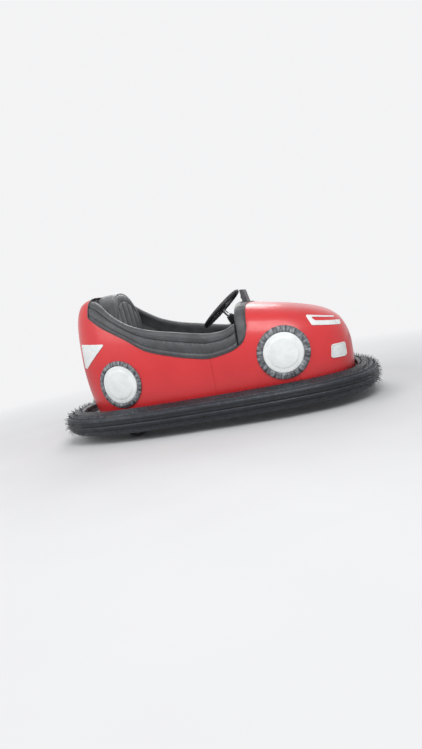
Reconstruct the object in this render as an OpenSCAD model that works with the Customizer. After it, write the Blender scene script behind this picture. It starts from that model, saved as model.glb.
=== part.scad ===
/* [Bumper ring] */
// Overall length over the rubber ring
ring_len = 1950; // [1850:10:2050]
// Overall width over the rubber ring
ring_w = 1150; // [1100:10:1220]
// Radial thickness of the rubber ring
ring_t = 115; // [100:1:122]
// Height of the rubber ring
ring_h = 136; // [120:1:145]
// Gap between the floor and the rubber ring
ring_z = 50; // [40:1:60]
// Squareness of the ring in plan, 2 is an ellipse
ring_square = 2.9; // [2.6:0.05:3.2]
// Thickness of the steel rim behind the ring
rim_wall = 5; // [3:0.5:8]
// Height of the steel rim
rim_h = 84; // [76:1:100]

/* [Chassis] */
// Height of the frame's underside above the floor
frame_z = 90; // [82:1:100]
// Side of the square frame tubes
tube = 40; // [30:1:45]
// Distance from the rubber ring's side to the long tubes' centres
rail_in = 275; // [265:1:285]
// Thickness of the floor plate
plate_t = 4; // [3:0.5:6]
// Radius of the transport holes in the cross tubes
hole_r = 6.5; // [5:0.5:8]
// Half the distance between the transport holes across the car
hole_y = 150; // [120:5:180]

/* [Body moulding] */
// Wall thickness of the moulded body
body_wall = 5; // [4:0.5:8]
// Gap between the nose and the inside of the ring
nose_gap = 10; // [8:1:30]
// Gap between the tail and the inside of the ring
tail_gap = 42; // [30:1:60]
// Gap between the body's sides and the inside of the ring
side_gap = 14; // [12:1:25]
// Place of the dashboard edge of the cockpit opening
cowl_x = 288; // [280:1:310]
// Height of the bonnet at the dashboard
cowl_z = 652; // [630:1:680]
// Highest point of the tail
tail_top = 854; // [820:1:880]
// Place of the lowest point of the side cut-out
swoop_x = 61; // [40:1:80]
// Height of the lowest point of the side cut-out
swoop_z = 393; // [380:1:420]
// Squareness of the body's arched cross-section
arch = 4.5; // [3.5:0.1:5.5]
// Thickness of the padded cockpit edge
pad_t = 45; // [35:1:50]

/* [Wheel covers and lamps] */
// Outer radius of the front wheel covers
cover_front_r = 148; // [135:1:155]
// Outer radius of the rear wheel covers
cover_rear_r = 141; // [130:1:148]
// Radius of the white discs
disc_r = 113; // [100:1:120]
// How far the wheel covers stand out from the body
cover_out = 14; // [8:1:20]
// How far the lamp lenses stand out from the body
lamp_out = 5; // [3:0.5:8]

/* [Seat] */
// Top of the seat cushion
seat_z = 405; // [380:1:430]
// Thickness of the seat cushion
cushion_t = 80; // [60:1:100]
// Half the width of the seat cushion
cushion_w = 335; // [300:5:340]
// Front edge of the seat cushion
seat_front = -125; // [-160:5:-100]
// Top of the backrest
back_top = 866; // [840:1:885]
// Half the width of the backrest
back_w = 284; // [260:1:290]

/* [Steering] */
// Place of the steering wheel's centre
steer_x = 104; // [90:1:115]
// Height of the steering wheel's centre
steer_z = 645; // [635:1:665]
// Radius of the steering wheel at the middle of its rim
steer_r = 142; // [130:1:150]
// Radius of the steering wheel's grip
grip_r = 13; // [10:0.5:15]
// Radius of the steering shaft
shaft_r = 12; // [9:0.5:14]

/* [Wheels] */
// Place of the drive unit's swivel axis
swivel_x = 385; // [375:1:400]
// Radius of the driven wheel
drive_r = 100; // [90:1:105]
// Width of the driven wheel
drive_w = 60; // [45:1:65]
// Radius of the rear wheels
rear_r = 80; // [70:1:85]
// Width of the rear wheels
rear_w = 40; // [32:1:42]
// Place of the rear axle
rear_x = -470; // [-500:5:-440]
// Radius of the wheel axles
axle_r = 8; // [6:0.5:10]

/* [Hidden] */

ring_turns = 72;
// Gap between pieces that rest on each other, between a pin and its bore, round moving pieces
seat_gap = 0.3;
run_gap = 0.05;
seam = 0.6;
trim_gap = 0.8;
play = 5;
fine = 48;

ring_a = ring_len / 2;
ring_b = ring_w / 2;
rail_y = ring_b - rail_in;
floor_z = frame_z + tube;
deck_z = floor_z + plate_t;
nose_x = ring_a - ring_t - nose_gap;
tail_x = -(ring_a - ring_t - tail_gap);
body_b = ring_b - ring_t - side_gap;
front_a = nose_x - swoop_x;
rear_a = swoop_x - tail_x;
front_square = 3.3;
rear_square = 2.8;

// Tyre section: share of the thickness outwards, share of the height
ring_section = [[0, 0.17], [0, 0.93], [0.07, 0.985], [0.2, 1], [0.5, 0.945], [0.83, 0.83],
    [0.95, 0.765], [1, 0.68], [1, 0.515], [0.965, 0.475], [1, 0.435], [0.955, 0.3],
    [0.83, 0.14], [0.64, 0.02], [0.52, 0], [0.43, 0.03], [0.38, 0.17]];

// Bonnet line: distance behind the nose, drop below the dashboard edge
bonnet_line = [[0, 318], [14, 250], [55, 172], [155, 106], [317, 54], [472, 19]];
// Tail line: distance ahead of the tail, drop below the tail's top
tail_line = [[0, 390], [6, 260], [24, 130], [50, 60], [88, 16], [130, 1]];
top_line = concat(
    [for (row = tail_line) [tail_x + row[0], tail_top - row[1]]],
    [[tail_x + 178, tail_top + 2], [cowl_x, cowl_z]],
    [for (k = [len(bonnet_line) - 1 : -1 : 0]) [nose_x - bonnet_line[k][0], cowl_z - bonnet_line[k][1]]]);

// Side cut-out: distance ahead of its lowest point, rise above it
cut_line = [[-716, 350], [-632, 283], [-488, 191], [-364, 103], [-233, 54], [-117, 21],
    [0, 0], [60, 6], [121, 18], [165, 36], [193, 56], [211, 84], [cowl_x - swoop_x - 3, 127]];
// Padded edge: distance ahead of the lowest point, rise above it
pad_line = [[-714, 456], [-661, 438], [-621, 407], [-553, 340], [-442, 262], [-311, 212],
    [-188, 182], [-61, 152], [0, 140], [69, 138], [cowl_x - swoop_x - 48, 180],
    [cowl_x - swoop_x, 240]];
// Section of the padded edge: share of its height, share of its depth
pad_section = [[0, 0], [0.4, 0], [0.74, 0], [0.93, 0.08], [1, 0.3], [1, 0.7], [0.93, 0.92],
    [0.74, 1], [0.4, 1], [0, 1]];

bonnet_rows = 12;
side_rows = 6;
crown_rows = 6;
tip_turn = 9;

crown_t = 10;
race_t = 14;
bridge_t = 8;
bridge_w = 100;
gusset = 60;
crown_z = 2 * drive_r + 12;
race_z = crown_z + crown_t + 2;
bridge_z = race_z + race_t;
bridge_top = bridge_z + bridge_t;
box_r = 40;
socket_r = 28;
crown_r = 104;
race_r = [62, 96];
gear_z = bridge_top + box_r;
spindle_r = 15;
fork_y = drive_w / 2 + 8;
fork_t = 8;
motor_r = 44;
motor_end = 142;
gear_w = 26;
sweep_r = norm([motor_end, motor_r]) + 2 * play;
drive_bay = round(sweep_r + tube / 2) + 21;

column = [swivel_x - steer_x, gear_z - steer_z];
column_len = norm(column);
column_tilt = atan2(column[0], -column[1]);
boss_len = 78;
jacket_top = 62;
jacket_r = 20;
hub_under = 14;

ear_t = 12;
rear_y = rail_y + tube / 2 + rear_w / 2 + play;
outer_y = rear_y + rear_w / 2 + play + tube / 2;
// Chassis cross tubes: place along the car
cross_x = [rear_x - 150, rear_x + 140, (rear_x + swivel_x - drive_bay - 35) / 2 + 70,
    swivel_x - drive_bay, swivel_x + drive_bay];

cover_wall = 4;
pod_w = 75;
cover_side = sweep_r + 3 * play;
cover_top = bridge_top + 14;

base_z = seat_z - cushion_t - seat_gap;
base_front = seat_front - 30;
back_x = swoop_x + cut_line[0][0] + 7;
back_deep = 168;
base_back = back_x + 38;
base_side = 270;
tub_front = cowl_x - 8;
tub_back = back_x + 50;
battery = [190, 166, 170];

// Wheel covers: place, height, outer radius
covers = [[nose_x - 382, deck_z + 217, cover_front_r], [tail_x + 310, deck_z + 190, cover_rear_r]];
// Lamp corners: distance behind the nose, height above the deck
head_lamp = [[208, 334], [44, 302], [80, 356], [236, 396]];
fog_lamp = [[134, 132], [44, 124], [42, 204], [122, 207]];
// Tail lamp corners: distance ahead of the tail, height above the deck
tail_lamp = [[58, 314], [83, 306], [258, 438], [66, 458]];

function clip(v, low, high) = max(low, min(high, v));

function row_at(t, x, i = 0) =
    (i >= len(t) - 2 || x <= t[i + 1][0]) ? i : row_at(t, x, i + 1);

function rise(t, i) = (t[i + 1][1] - t[i][1]) / (t[i + 1][0] - t[i][0]);

function slope_at(t, i) =
    i <= 0 ? rise(t, 0) :
    i >= len(t) - 1 ? rise(t, i - 1) :
    rise(t, i - 1) * rise(t, i) <= 0 ? 0 :
    2 * rise(t, i - 1) * rise(t, i) / (rise(t, i - 1) + rise(t, i));

// Smooth value of a table of place and value
function smooth(t, x) =
    let (i = row_at(t, x), h = t[i + 1][0] - t[i][0], u = clip((x - t[i][0]) / h, 0, 1))
    t[i][1] * (1 + 2 * u) * pow(1 - u, 2) + t[i + 1][1] * (3 - 2 * u) * u * u
    + h * u * (1 - u) * (slope_at(t, i) * (1 - u) - slope_at(t, i + 1) * u);

function unit(v) = v / norm(v);

// Point of the ring's outline at a turn, moved out by d
function ring_pt(turn, d) =
    let (c = cos(turn), s = sin(turn), e = 2 / ring_square,
        x = ring_a * sign(c) * pow(abs(c), e), y = ring_b * sign(s) * pow(abs(s), e),
        n = unit([sign(c) * pow(abs(x) / ring_a, ring_square - 1) / ring_a,
            sign(s) * pow(abs(y) / ring_b, ring_square - 1) / ring_b]))
    [x, y] + d * n;

function ring_line(d) = [for (k = [0 : ring_turns - 1]) ring_pt(360 * k / ring_turns, d)];

function top_z(x) = smooth(top_line, clip(x, tail_x, nose_x));
function cut_z(x) = swoop_z + smooth(cut_line, x - swoop_x);
function pad_z(x) = swoop_z + smooth(pad_line, x - swoop_x);

function along(x) = x > swoop_x ? (x - swoop_x) / front_a : (swoop_x - x) / rear_a;
function square_at(x) = x > swoop_x ? front_square : rear_square;
function half_w(x) = body_b * pow(1 - pow(min(0.9999, along(x)), square_at(x)), 1 / square_at(x));

// The body draws in towards its bottom edge, most of all at the tail
function tuck(z) = 1 - 0.03 * pow(1 - clip((z - deck_z) / 130, 0, 1), 2);
function tuck_x(x, z) =
    x > swoop_x ? -10 * pow(along(x), 3) * pow(1 - clip((z - deck_z) / 130, 0, 1), 2)
    : 50 * pow(along(x), 3) * pow(1 - clip((z - deck_z) / 340, 0, 1), 2);

// Share of the half width that is left at a share of the height
function arch_w(s) = pow(max(0, 1 - pow(s, arch)), 1 / arch);
// Turn round the arched section, 90 at its top, for a share of the height
function turn_of(s) = asin(pow(clip(s, 0, 1), arch / 2));
function share_at(x, z) = (z - deck_z) / (top_z(x) - deck_z);

// Point of the body's surface, at a turn from 0 low on the right to 180 low on the left
function body_pt(x, turn) =
    let (c = cos(turn), z = deck_z + (top_z(x) - deck_z) * pow(sin(turn), 2 / arch))
    [x + tuck_x(x, z), -sign(c) * half_w(x) * pow(abs(c), 2 / arch) * tuck(z), z];

// Outward direction there
function body_out(x, turn) =
    let (t = clip(turn, 1, 179))
    unit(cross(body_pt(x + 2, t) - body_pt(x - 2, t), body_pt(x, t + 1) - body_pt(x, t - 1)));

function skin_y(x, z) =
    let (x0 = x - tuck_x(x, z))
    half_w(x0) * arch_w(clip(share_at(x0, z), 0, 1)) * tuck(z);

// Inner face of the cockpit's side wall
function tub_y(x) = skin_y(x, cut_z(x)) - pad_t - 3 - body_wall;

// Place of a station that is a share of the way round to the nose or tail
function bonnet_x(k) =
    let (e = 2 / front_square, start = acos(pow((cowl_x - swoop_x) / front_a, 1 / e)),
        turn = start + (tip_turn - start) * k / bonnet_rows)
    swoop_x + front_a * pow(cos(turn), e);
function stern_x(k) =
    let (e = 2 / rear_square, start = acos(pow(-cut_line[0][0] / rear_a, 1 / e)),
        turn = start + (tip_turn - start) * k / side_rows)
    swoop_x - rear_a * pow(cos(turn), e);

front_x = concat([for (row = cut_line) if (row[0] >= 0) swoop_x + max(seam, row[0])],
    [for (k = [0 : bonnet_rows]) bonnet_x(k)]);
rear_cut = [for (k = [6 : -1 : 0]) swoop_x + cut_line[k][0]];
rear_mid = [for (k = [0 : 0.5 : 6]) (rear_cut[floor(k)] + rear_cut[ceil(k)]) / 2];
rear_x_list = concat(rear_mid, [for (k = [1 : side_rows]) stern_x(k)]);

// Height of the body's edge, straight from one station to the next
edge_rows = [for (x = concat(rear_mid, front_x)) [x, cut_z(x)]];
function edge_z(x) = lookup(x, edge_rows);

// Height share where the side band ends and the crown begins
function band_share(x) =
    x > cowl_x - 4 ? 0.745 + 0.1 * clip((x - cowl_x) / 200, 0, 1) :
    x < swoop_x + cut_line[0][0] ? 0.85 : share_at(x, cut_z(x));

function half_turns(x) = let (band = turn_of(band_share(x))) concat(
    [for (k = [0 : side_rows]) turn_of(band_share(x) * k / side_rows)],
    [for (k = [1 : crown_rows]) band + (90 - band) * k / crown_rows]);

function body_row(x) =
    let (t = half_turns(x), n = len(t))
    concat([for (k = [0 : n - 1]) body_pt(x, t[k])],
        [for (k = [n - 2 : -1 : 0]) body_pt(x, 180 - t[k])]);

function lean(g, i, j) =
    let (a = g[min(i + 1, len(g) - 1)][j] - g[max(i - 1, 0)][j],
        b = g[i][min(j + 1, len(g[0]) - 1)] - g[i][max(j - 1, 0)])
    unit(cross(a, b));

// Inner skin of a grid of points, a wall's thickness inside it
function inside(g, wall, flat_z) =
    [for (i = [0 : len(g) - 1]) [for (j = [0 : len(g[0]) - 1])
        let (p = g[i][j] - wall * lean(g, i, j))
        (flat_z && (j == 0 || j == len(g[0]) - 1)) ? [p[0], p[1], g[i][j][2]] : p]];

// A walled sheet between two grids of points, with quads where keep is true.
// With cap, the last row is closed across from its left half to its right.
module sheet(outer, inner, keep, cap = false) {
    rows = len(outer);
    cols = len(outer[0]);
    function at(s, i, j) = s * rows * cols + i * cols + j;
    function kept(i, j) = i >= 0 && j >= 0 && i < rows - 1 && j < cols - 1 && keep[i][j];
    function quad(a, b, c, d) = [a, b, c, d];
    skins = [for (i = [0 : rows - 2]) for (j = [0 : cols - 2]) if (keep[i][j])
        for (s = [0, 1]) s == 0
            ? quad(at(0, i, j), at(0, i, j + 1), at(0, i + 1, j + 1), at(0, i + 1, j))
            : quad(at(1, i, j), at(1, i + 1, j), at(1, i + 1, j + 1), at(1, i, j + 1))];
    edges = [for (i = [0 : rows - 2]) for (j = [0 : cols - 2]) if (keep[i][j]) each concat(
        kept(i - 1, j) ? [] : [quad(at(0, i, j + 1), at(0, i, j), at(1, i, j), at(1, i, j + 1))],
        (kept(i + 1, j) || (cap && i == rows - 2)) ? [] :
            [quad(at(0, i + 1, j), at(0, i + 1, j + 1), at(1, i + 1, j + 1), at(1, i + 1, j))],
        kept(i, j - 1) ? [] : [quad(at(0, i, j), at(0, i + 1, j), at(1, i + 1, j), at(1, i, j))],
        kept(i, j + 1) ? [] :
            [quad(at(0, i + 1, j + 1), at(0, i, j + 1), at(1, i, j + 1), at(1, i + 1, j + 1))])];
    r = rows - 1;
    m = (cols - 1) / 2;
    caps = cap ? [for (k = [0 : m - 1]) for (s = [0, 1])
        let (a = at(s, r, k), b = at(s, r, k + 1), c = at(s, r, cols - 2 - k), d = at(s, r, cols - 1 - k))
        k == m - 1 ? (s == 0 ? [a, b, d] : [a, d, b]) :
        (s == 0 ? quad(a, b, c, d) : quad(a, d, c, b))] : [];
    hem = cap ? [quad(at(0, r, 0), at(0, r, cols - 1), at(1, r, cols - 1), at(1, r, 0))] : [];
    polyhedron(points = [for (g = [outer, inner]) for (row = g) each row],
        faces = concat(skins, edges, caps, hem), convexity = 8);
}

// A solid through closed loops of points, which turn anticlockwise seen from the
// last loop. The caps join each point of a loop's first half to its partner in
// the second half, counted from the end.
module loft(loops) {
    m = len(loops);
    n = len(loops[0]);
    function cap(a, k) = [[a + k, a + k + 1, a + n - 2 - k], [a + k, a + n - 2 - k, a + n - 1 - k]];
    sides = [for (i = [0 : m - 2]) for (j = [0 : n - 1])
        let (a = i * n, b = a + n, e = (j + 1) % n) [a + j, b + j, b + e, a + e]];
    ends = [for (k = [0 : n / 2 - 2]) each concat(cap(0, k),
        [for (f = cap((m - 1) * n, k)) [f[2], f[1], f[0]]])];
    polyhedron(points = [for (loop = loops) each loop], faces = concat(sides, ends), convexity = 6);
}

function all_kept(g) = [for (i = [0 : len(g) - 2]) [for (j = [0 : len(g[0]) - 2]) true]];

// The last inner row is drawn back from the flat tip by the wall
function drawn_back(g, d) =
    [for (i = [0 : len(g) - 1]) i < len(g) - 1 ? g[i] : [for (p = g[i]) p + [d, 0, 0]]];

// Corners of a polygon rounded by arcs of radius r
function rounded(pts, r, n = 5) =
    [for (i = [0 : len(pts) - 1])
        let (p = pts[i], a = unit(pts[(i + len(pts) - 1) % len(pts)] - p),
            b = unit(pts[(i + 1) % len(pts)] - p), half = acos(clip(a * b, -1, 1)) / 2,
            d = r / tan(half), c = p + unit(a + b) * r / sin(half),
            from = p + a * d - c, to = p + b * d - c,
            start = atan2(from[1], from[0]),
            turn = let (t = atan2(to[1], to[0]) - start) t > 180 ? t - 360 : t < -180 ? t + 360 : t)
        for (k = [0 : n]) c + r * [cos(start + turn * k / n), sin(start + turn * k / n)]];

module bar(low, high) {
    translate(low) cube(high - low);
}

module on_column() {
    translate([steer_x, 0, steer_z]) rotate([0, -column_tilt, 0]) children();
}

module bumper_tyre() {
    rows = [for (k = [0 : ring_turns - 1]) [for (q = ring_section)
        let (p = ring_pt(360 * k / ring_turns, (q[0] - 1) * ring_t))
        [p[0], p[1], ring_z + q[1] * ring_h]]];
    n = len(ring_section);
    color([0.07, 0.07, 0.075])
    polyhedron(points = [for (row = rows) each row],
        faces = [for (k = [0 : ring_turns - 1]) for (j = [0 : n - 1])
            let (a = k * n, b = ((k + 1) % ring_turns) * n, e = (j + 1) % n)
            [a + j, b + j, b + e, a + e]], convexity = 4);
}

module bumper_rim() {
    ledge_z = ring_z + ring_section[0][1] * ring_h - seat_gap;
    color([0.16, 0.17, 0.18]) {
        translate([0, 0, ledge_z - rim_wall]) linear_extrude(rim_h) difference() {
            polygon(ring_line(-ring_t - seat_gap));
            polygon(ring_line(-ring_t - seat_gap - rim_wall));
        }
        translate([0, 0, ledge_z - rim_wall]) linear_extrude(rim_wall) difference() {
            polygon(ring_line(-0.68 * ring_t));
            polygon(ring_line(-ring_t - seat_gap));
        }
    }
}

// What lies within the steel rim
module in_rim() {
    intersection() {
        union() children();
        translate([0, 0, frame_z - 1]) linear_extrude(tube + 2)
            polygon(ring_line(-ring_t - seat_gap - rim_wall));
    }
}

// Two long tubes, and a short one outside each rear wheel
module frame_rails() {
    half = tube / 2;
    color([0.16, 0.17, 0.18]) in_rim() for (s = [-1, 1]) {
        bar([-ring_a, s * rail_y - half, frame_z], [ring_a, s * rail_y + half, floor_z]);
        bar([cross_x[0] + half, s * outer_y - half, frame_z],
            [cross_x[1] - half, s * outer_y + half, floor_z]);
    }
}

// Cross tubes between the long ones, the first and last with transport holes
module frame_cross() {
    half = tube / 2;
    side = rail_y - half;
    color([0.16, 0.17, 0.18]) difference() {
        for (x = cross_x) bar([x - half, -side, frame_z], [x + half, side, floor_z]);
        for (x = [cross_x[0], cross_x[4]]) for (s = [-1, 1])
            translate([x, s * hole_y, frame_z - 1]) cylinder(r = hole_r, h = tube + 2, $fn = fine);
    }
}

// Short tubes from the long ones out to the rim
module frame_outriggers() {
    half = tube / 2;
    color([0.16, 0.17, 0.18]) in_rim() for (x = cross_x) for (s = [0, 1]) mirror([0, s, 0])
        bar([x - half, rail_y + half, frame_z], [x + half, ring_b, floor_z]);
}

module floor_plate() {
    color([0.34, 0.35, 0.36]) translate([0, 0, floor_z]) linear_extrude(plate_t) difference() {
        polygon(ring_line(-ring_t - seat_gap - rim_wall - seat_gap));
        translate([swivel_x, 0]) circle(r = sweep_r + play, $fn = 96);
        for (s = [-1, 1]) translate([rear_x, s * rear_y])
            square([2 * rear_r + 4 * play, rear_w + 2 * play], center = true);
        for (x = [cross_x[0], cross_x[4]]) for (s = [-1, 1])
            translate([x, s * hole_y]) circle(r = hole_r, $fn = fine);
    }
}

module drive_bridge() {
    leg_y = rail_y + tube / 2;
    color([0.16, 0.17, 0.18]) difference() {
        union() {
            bar([swivel_x - bridge_w / 2, -leg_y, bridge_z], [swivel_x + bridge_w / 2, leg_y, bridge_top]);
            for (s = [0, 1]) mirror([0, s, 0]) {
                bar([swivel_x - bridge_w / 2, leg_y - bridge_t, deck_z],
                    [swivel_x + bridge_w / 2, leg_y, bridge_z]);
                translate([swivel_x - bridge_t / 2, 0, 0]) rotate([90, 0, 90]) linear_extrude(bridge_t)
                    polygon([[leg_y - bridge_t, bridge_z], [leg_y - bridge_t - gusset, bridge_z],
                        [leg_y - bridge_t, bridge_z - gusset]]);
            }
        }
        translate([swivel_x, 0, bridge_z - 1])
            cylinder(r = spindle_r + 2, h = bridge_t + 2, $fn = fine);
    }
}

module race_ring() {
    color([0.5, 0.51, 0.53]) translate([swivel_x, 0, race_z]) difference() {
        cylinder(r = race_r[1], h = race_t, $fn = 96);
        translate([0, 0, -1]) cylinder(r = race_r[0], h = race_t + 2, $fn = 96);
    }
}

module body_front() {
    outer = [for (x = front_x) body_row(x)];
    open_rows = len([for (row = cut_line) if (row[0] >= 0) row]);
    keep = [for (i = [0 : len(outer) - 2]) [for (j = [0 : len(outer[0]) - 2])
        i >= open_rows || j < side_rows || j > len(outer[0]) - 2 - side_rows]];
    color([0.72, 0.05, 0.08])
        sheet(outer, drawn_back(inside(outer, body_wall, true), -body_wall), keep, true);
}

module body_rear() {
    outer = [for (x = rear_x_list) [for (p = body_row(x)) [p[0], -p[1], p[2]]]];
    open_rows = len(rear_mid) - 1;
    keep = [for (i = [0 : len(outer) - 2]) [for (j = [0 : len(outer[0]) - 2])
        i >= open_rows || j < side_rows || j > len(outer[0]) - 2 - side_rows]];
    color([0.72, 0.05, 0.08])
        sheet(outer, drawn_back(inside(outer, body_wall, true), body_wall), keep, true);
}

// The padded edge at one station, a closed loop round its section
function pad_loop(x) =
    let (low = edge_z(x) + seat_gap, high = pad_z(x))
    [for (q = pad_section)
        let (t = turn_of(share_at(x, low + (high - low) * q[0])))
        body_pt(x, t) - pad_t * q[1] * body_out(x, t)];

// The pads meet the body at the body's own stations
pad_front = swoop_x + cut_line[9][0];
pad_x = concat([for (k = [len(rear_mid) - 1 : -1 : 0]) max(rear_mid[k], back_x - 4)],
    [for (x = front_x) if (x > swoop_x + seam && x <= pad_front) x]);

module side_pad() {
    loft([for (k = [len(pad_x) - 1 : -1 : 0]) pad_loop(pad_x[k])]);
}

module side_pad_left() {
    color([0.1, 0.1, 0.11]) mirror([0, 1, 0]) side_pad();
}

module side_pad_right() {
    color([0.1, 0.1, 0.11]) side_pad();
}

dash_back = pad_front + 1;
dash_front = cowl_x - 4;
dash_steps = 10;

// The dash pad's section at a share of the way from its right foot over the top
function dash_loop(u) =
    [for (q = pad_section)
        let (x = dash_front + (dash_back - dash_front) * q[0],
            foot = turn_of(share_at(x, edge_z(x) + seat_gap)), t = foot + (180 - 2 * foot) * u)
        body_pt(x, t) - pad_t * q[1] * body_out(x, t)];

module dash_pad() {
    color([0.1, 0.1, 0.11]) loft([for (k = [2 * dash_steps : -1 : 0]) dash_loop(k / dash_steps / 2)]);
}

panel_x = cowl_x + 6;
panel_t = 6;
panel_steps = 12;

module dash_panel() {
    drop = body_wall + 2;
    low = turn_of(share_at(panel_x + panel_t, cover_top + seat_gap + drop));
    right = [for (k = [0 : panel_steps])
        let (p = body_pt(panel_x + panel_t, low + (88 - low) * k / panel_steps))
        [-p[1] - body_wall - 2 * seat_gap, p[2] - drop]];
    color([0.12, 0.12, 0.13]) difference() {
        translate([panel_x, 0, 0]) rotate([90, 0, 90]) linear_extrude(panel_t) polygon(concat(
            right, [for (k = [panel_steps : -1 : 0]) [-right[k][0], right[k][1]]]));
        on_column() translate([0, 0, -column_len])
            cylinder(r = jacket_r + 1, h = column_len, $fn = fine);
    }
}

// Hooded pod on the dash pad, leaning back to the driver
module dash_pod() {
    back = cowl_x - 38;
    front = cowl_x - 5;
    foot = top_z(back) + seat_gap;
    profile = rounded([[back, foot], [front, top_z(front) + seat_gap], [front - 17, foot + 74],
        [back - 8, foot + 78]], 5);
    color([0.12, 0.12, 0.13]) difference() {
        translate([0, pod_w, 0]) rotate([90, 0, 0]) linear_extrude(2 * pod_w) polygon(profile);
        translate([back - 12, -pod_w + 12, foot + 22]) cube([11, 2 * pod_w - 24, 42]);
    }
}

function tub_row(x, low) =
    let (high = cut_z(x) - seat_gap)
    [for (k = [0 : 4]) [x, -tub_y(x), low + (high - low) * k / 4]];

// Beside the seat the wall stands on the seat pan, ahead of it on the floor
module tub_side() {
    seat_x = [for (k = [0 : 8]) tub_back + (base_front - tub_back) * k / 8];
    leg_x = [for (k = [0 : 9]) base_front + 1 + (tub_front - base_front - 1) * k / 9];
    inner = concat([for (x = seat_x) tub_row(x, base_z + seat_gap)], [for (x = leg_x) tub_row(x, deck_z)]);
    outer = [for (row = inner) [for (p = row) p - [0, body_wall, 0]]];
    sheet(outer, inner, all_kept(outer));
}

module tub_left() {
    color([0.12, 0.12, 0.13]) mirror([0, 1, 0]) tub_side();
}

module tub_right() {
    color([0.12, 0.12, 0.13]) tub_side();
}

// A plan outline, mirrored about the car's centre line
function mirrored(half) =
    concat(half, [for (k = [len(half) - 1 : -1 : 0]) [half[k][0], -half[k][1]]]);

function box_plan(back, front, wide, r) =
    rounded([[back, -wide], [front, -wide], [front, wide], [back, wide]], r, 8);

module drive_cover() {
    back = swivel_x - cover_side;
    front = swivel_x + cover_side;
    color([0.12, 0.12, 0.13]) difference() {
        translate([0, 0, deck_z]) linear_extrude(cover_top - deck_z)
            polygon(box_plan(back, front, cover_side, 60));
        translate([0, 0, deck_z - 1]) linear_extrude(cover_top - deck_z + 1 - cover_wall)
            polygon(box_plan(back + cover_wall, front - cover_wall, cover_side - cover_wall,
                60 - cover_wall));
        translate([swivel_x, 0, cover_top - cover_wall - 1])
            cylinder(r = box_r + 3, h = cover_wall + 2, $fn = fine);
        for (s = [-1, 1]) bar([swivel_x - bridge_w / 2 - 1, s > 0 ? 0 : -cover_side - 1, bridge_z - 1],
            [swivel_x + bridge_w / 2 + 1, s > 0 ? cover_side + 1 : 0, bridge_top + 1]);
    }
}

// Seat pan: a hollow box with a top that reaches the cockpit's side walls
module seat_base() {
    wall = 5;
    steps = 8;
    half = [for (k = [0 : steps]) let (x = base_back + (base_front - seat_gap - base_back) * k / steps)
        [x, -tub_y(x) - body_wall]];
    color([0.12, 0.12, 0.13]) {
        translate([0, 0, base_z - wall]) linear_extrude(wall) polygon(mirrored(half));
        translate([0, 0, deck_z]) linear_extrude(base_z - wall - deck_z) difference() {
            polygon(box_plan(base_back, base_front - 20, base_side, 30));
            polygon(box_plan(base_back + wall, base_front - 20 - wall, base_side - wall, 30 - wall));
        }
    }
}

// Cushion: plan outlines that follow the side walls, drawn in towards the top edge
module seat_cushion() {
    // Height share, how far the outline is drawn in
    levels = [[0, 6], [0.06, 1], [0.2, 0], [0.7, 0], [0.85, 2.5], [0.95, 9], [1, 19]];
    back = back_x + back_deep + 1;
    corner = 36;
    steps = 6;
    function half(d) = concat(
        [for (k = [0 : steps]) let (x = back + d + (seat_front - corner - back - d) * k / steps)
            [x, -min(cushion_w, tub_y(x) - 4) + d]],
        [for (k = [1 : 5]) let (x = seat_front - corner, y = min(cushion_w, tub_y(x) - 4) - corner)
            [x + (corner - d) * sin(18 * k), -y - (corner - d) * cos(18 * k)]]);
    color([0.1, 0.1, 0.11]) loft([for (q = levels) [for (p = mirrored(half(q[1])))
        [p[0], p[1], seat_z - cushion_t * (1 - q[0])]]]);
}

// Backrest: its sides follow the padded edge, its top is an arch above it
module seat_back() {
    // Share of the depth from the back, how far the outline is drawn in
    stations = [[1, 22], [0.97, 9], [0.9, 2], [0.8, 0], [0.2, 0], [0.1, 2], [0.03, 9], [0, 22]];
    low = base_z + seat_gap;
    mid = cut_z(back_x + 120);
    steps = 8;
    function wide(u) = min(back_w, tub_y(back_x + back_deep * u) - 8);
    // Depth of the foot, seat and top behind the front of the foot
    function deep(z, u) =
        let (rear = smooth([[low, 36], [mid, 0], [back_top, 2]], z),
            front = smooth([[low, back_deep], [seat_z, back_deep], [back_top, back_deep - 32]], z))
        back_x + rear + (front - rear) * u;
    function outline(u, d) = concat([[wide(u) - d, low + d / 2], [wide(u) - d, (low + mid) / 2]],
        [for (k = [0 : steps]) let (t = 88 * k / steps)
            [(wide(u) - d) * cos(t), mid + (back_top - d - mid) * sin(t)]]);
    color([0.1, 0.1, 0.11]) loft([for (q = stations) let (half = outline(q[0], q[1]), n = len(half))
        concat([for (p = half) [deep(p[1], q[0]), -p[0], p[1]]],
            [for (k = [n - 1 : -1 : 0]) [deep(half[k][1], q[0]), half[k][0], half[k][1]]])]);
}

module battery_blocks() {
    color([0.2, 0.2, 0.22]) for (k = [0, 1]) for (s = [-1, 1])
        translate([base_back + 15 + k * (battery[0] + 12), s * (battery[1] / 2 + 12) - battery[1] / 2,
            deck_z]) cube(battery);
}

module accelerator_pedal() {
    // Length and width of the base, height of the treadle
    base = [90, 90];
    tread = 64;
    color([0.3, 0.31, 0.32])
        translate([swivel_x - cover_side - 70, -(cover_side + rail_y) / 2 - 40, deck_z]) {
            bar([0, -base[1] / 2, 0], [base[0], base[1] / 2, 6]);
            translate([0, base[1] / 2 - 10, 6]) rotate([90, 0, 0]) linear_extrude(base[1] - 20)
                polygon([[0, 0], [16, 0], [base[0] - 6, tread - 8], [base[0] - 10, tread],
                    [base[0] - 20, tread - 2], [0, 6]]);
        }
}

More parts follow.
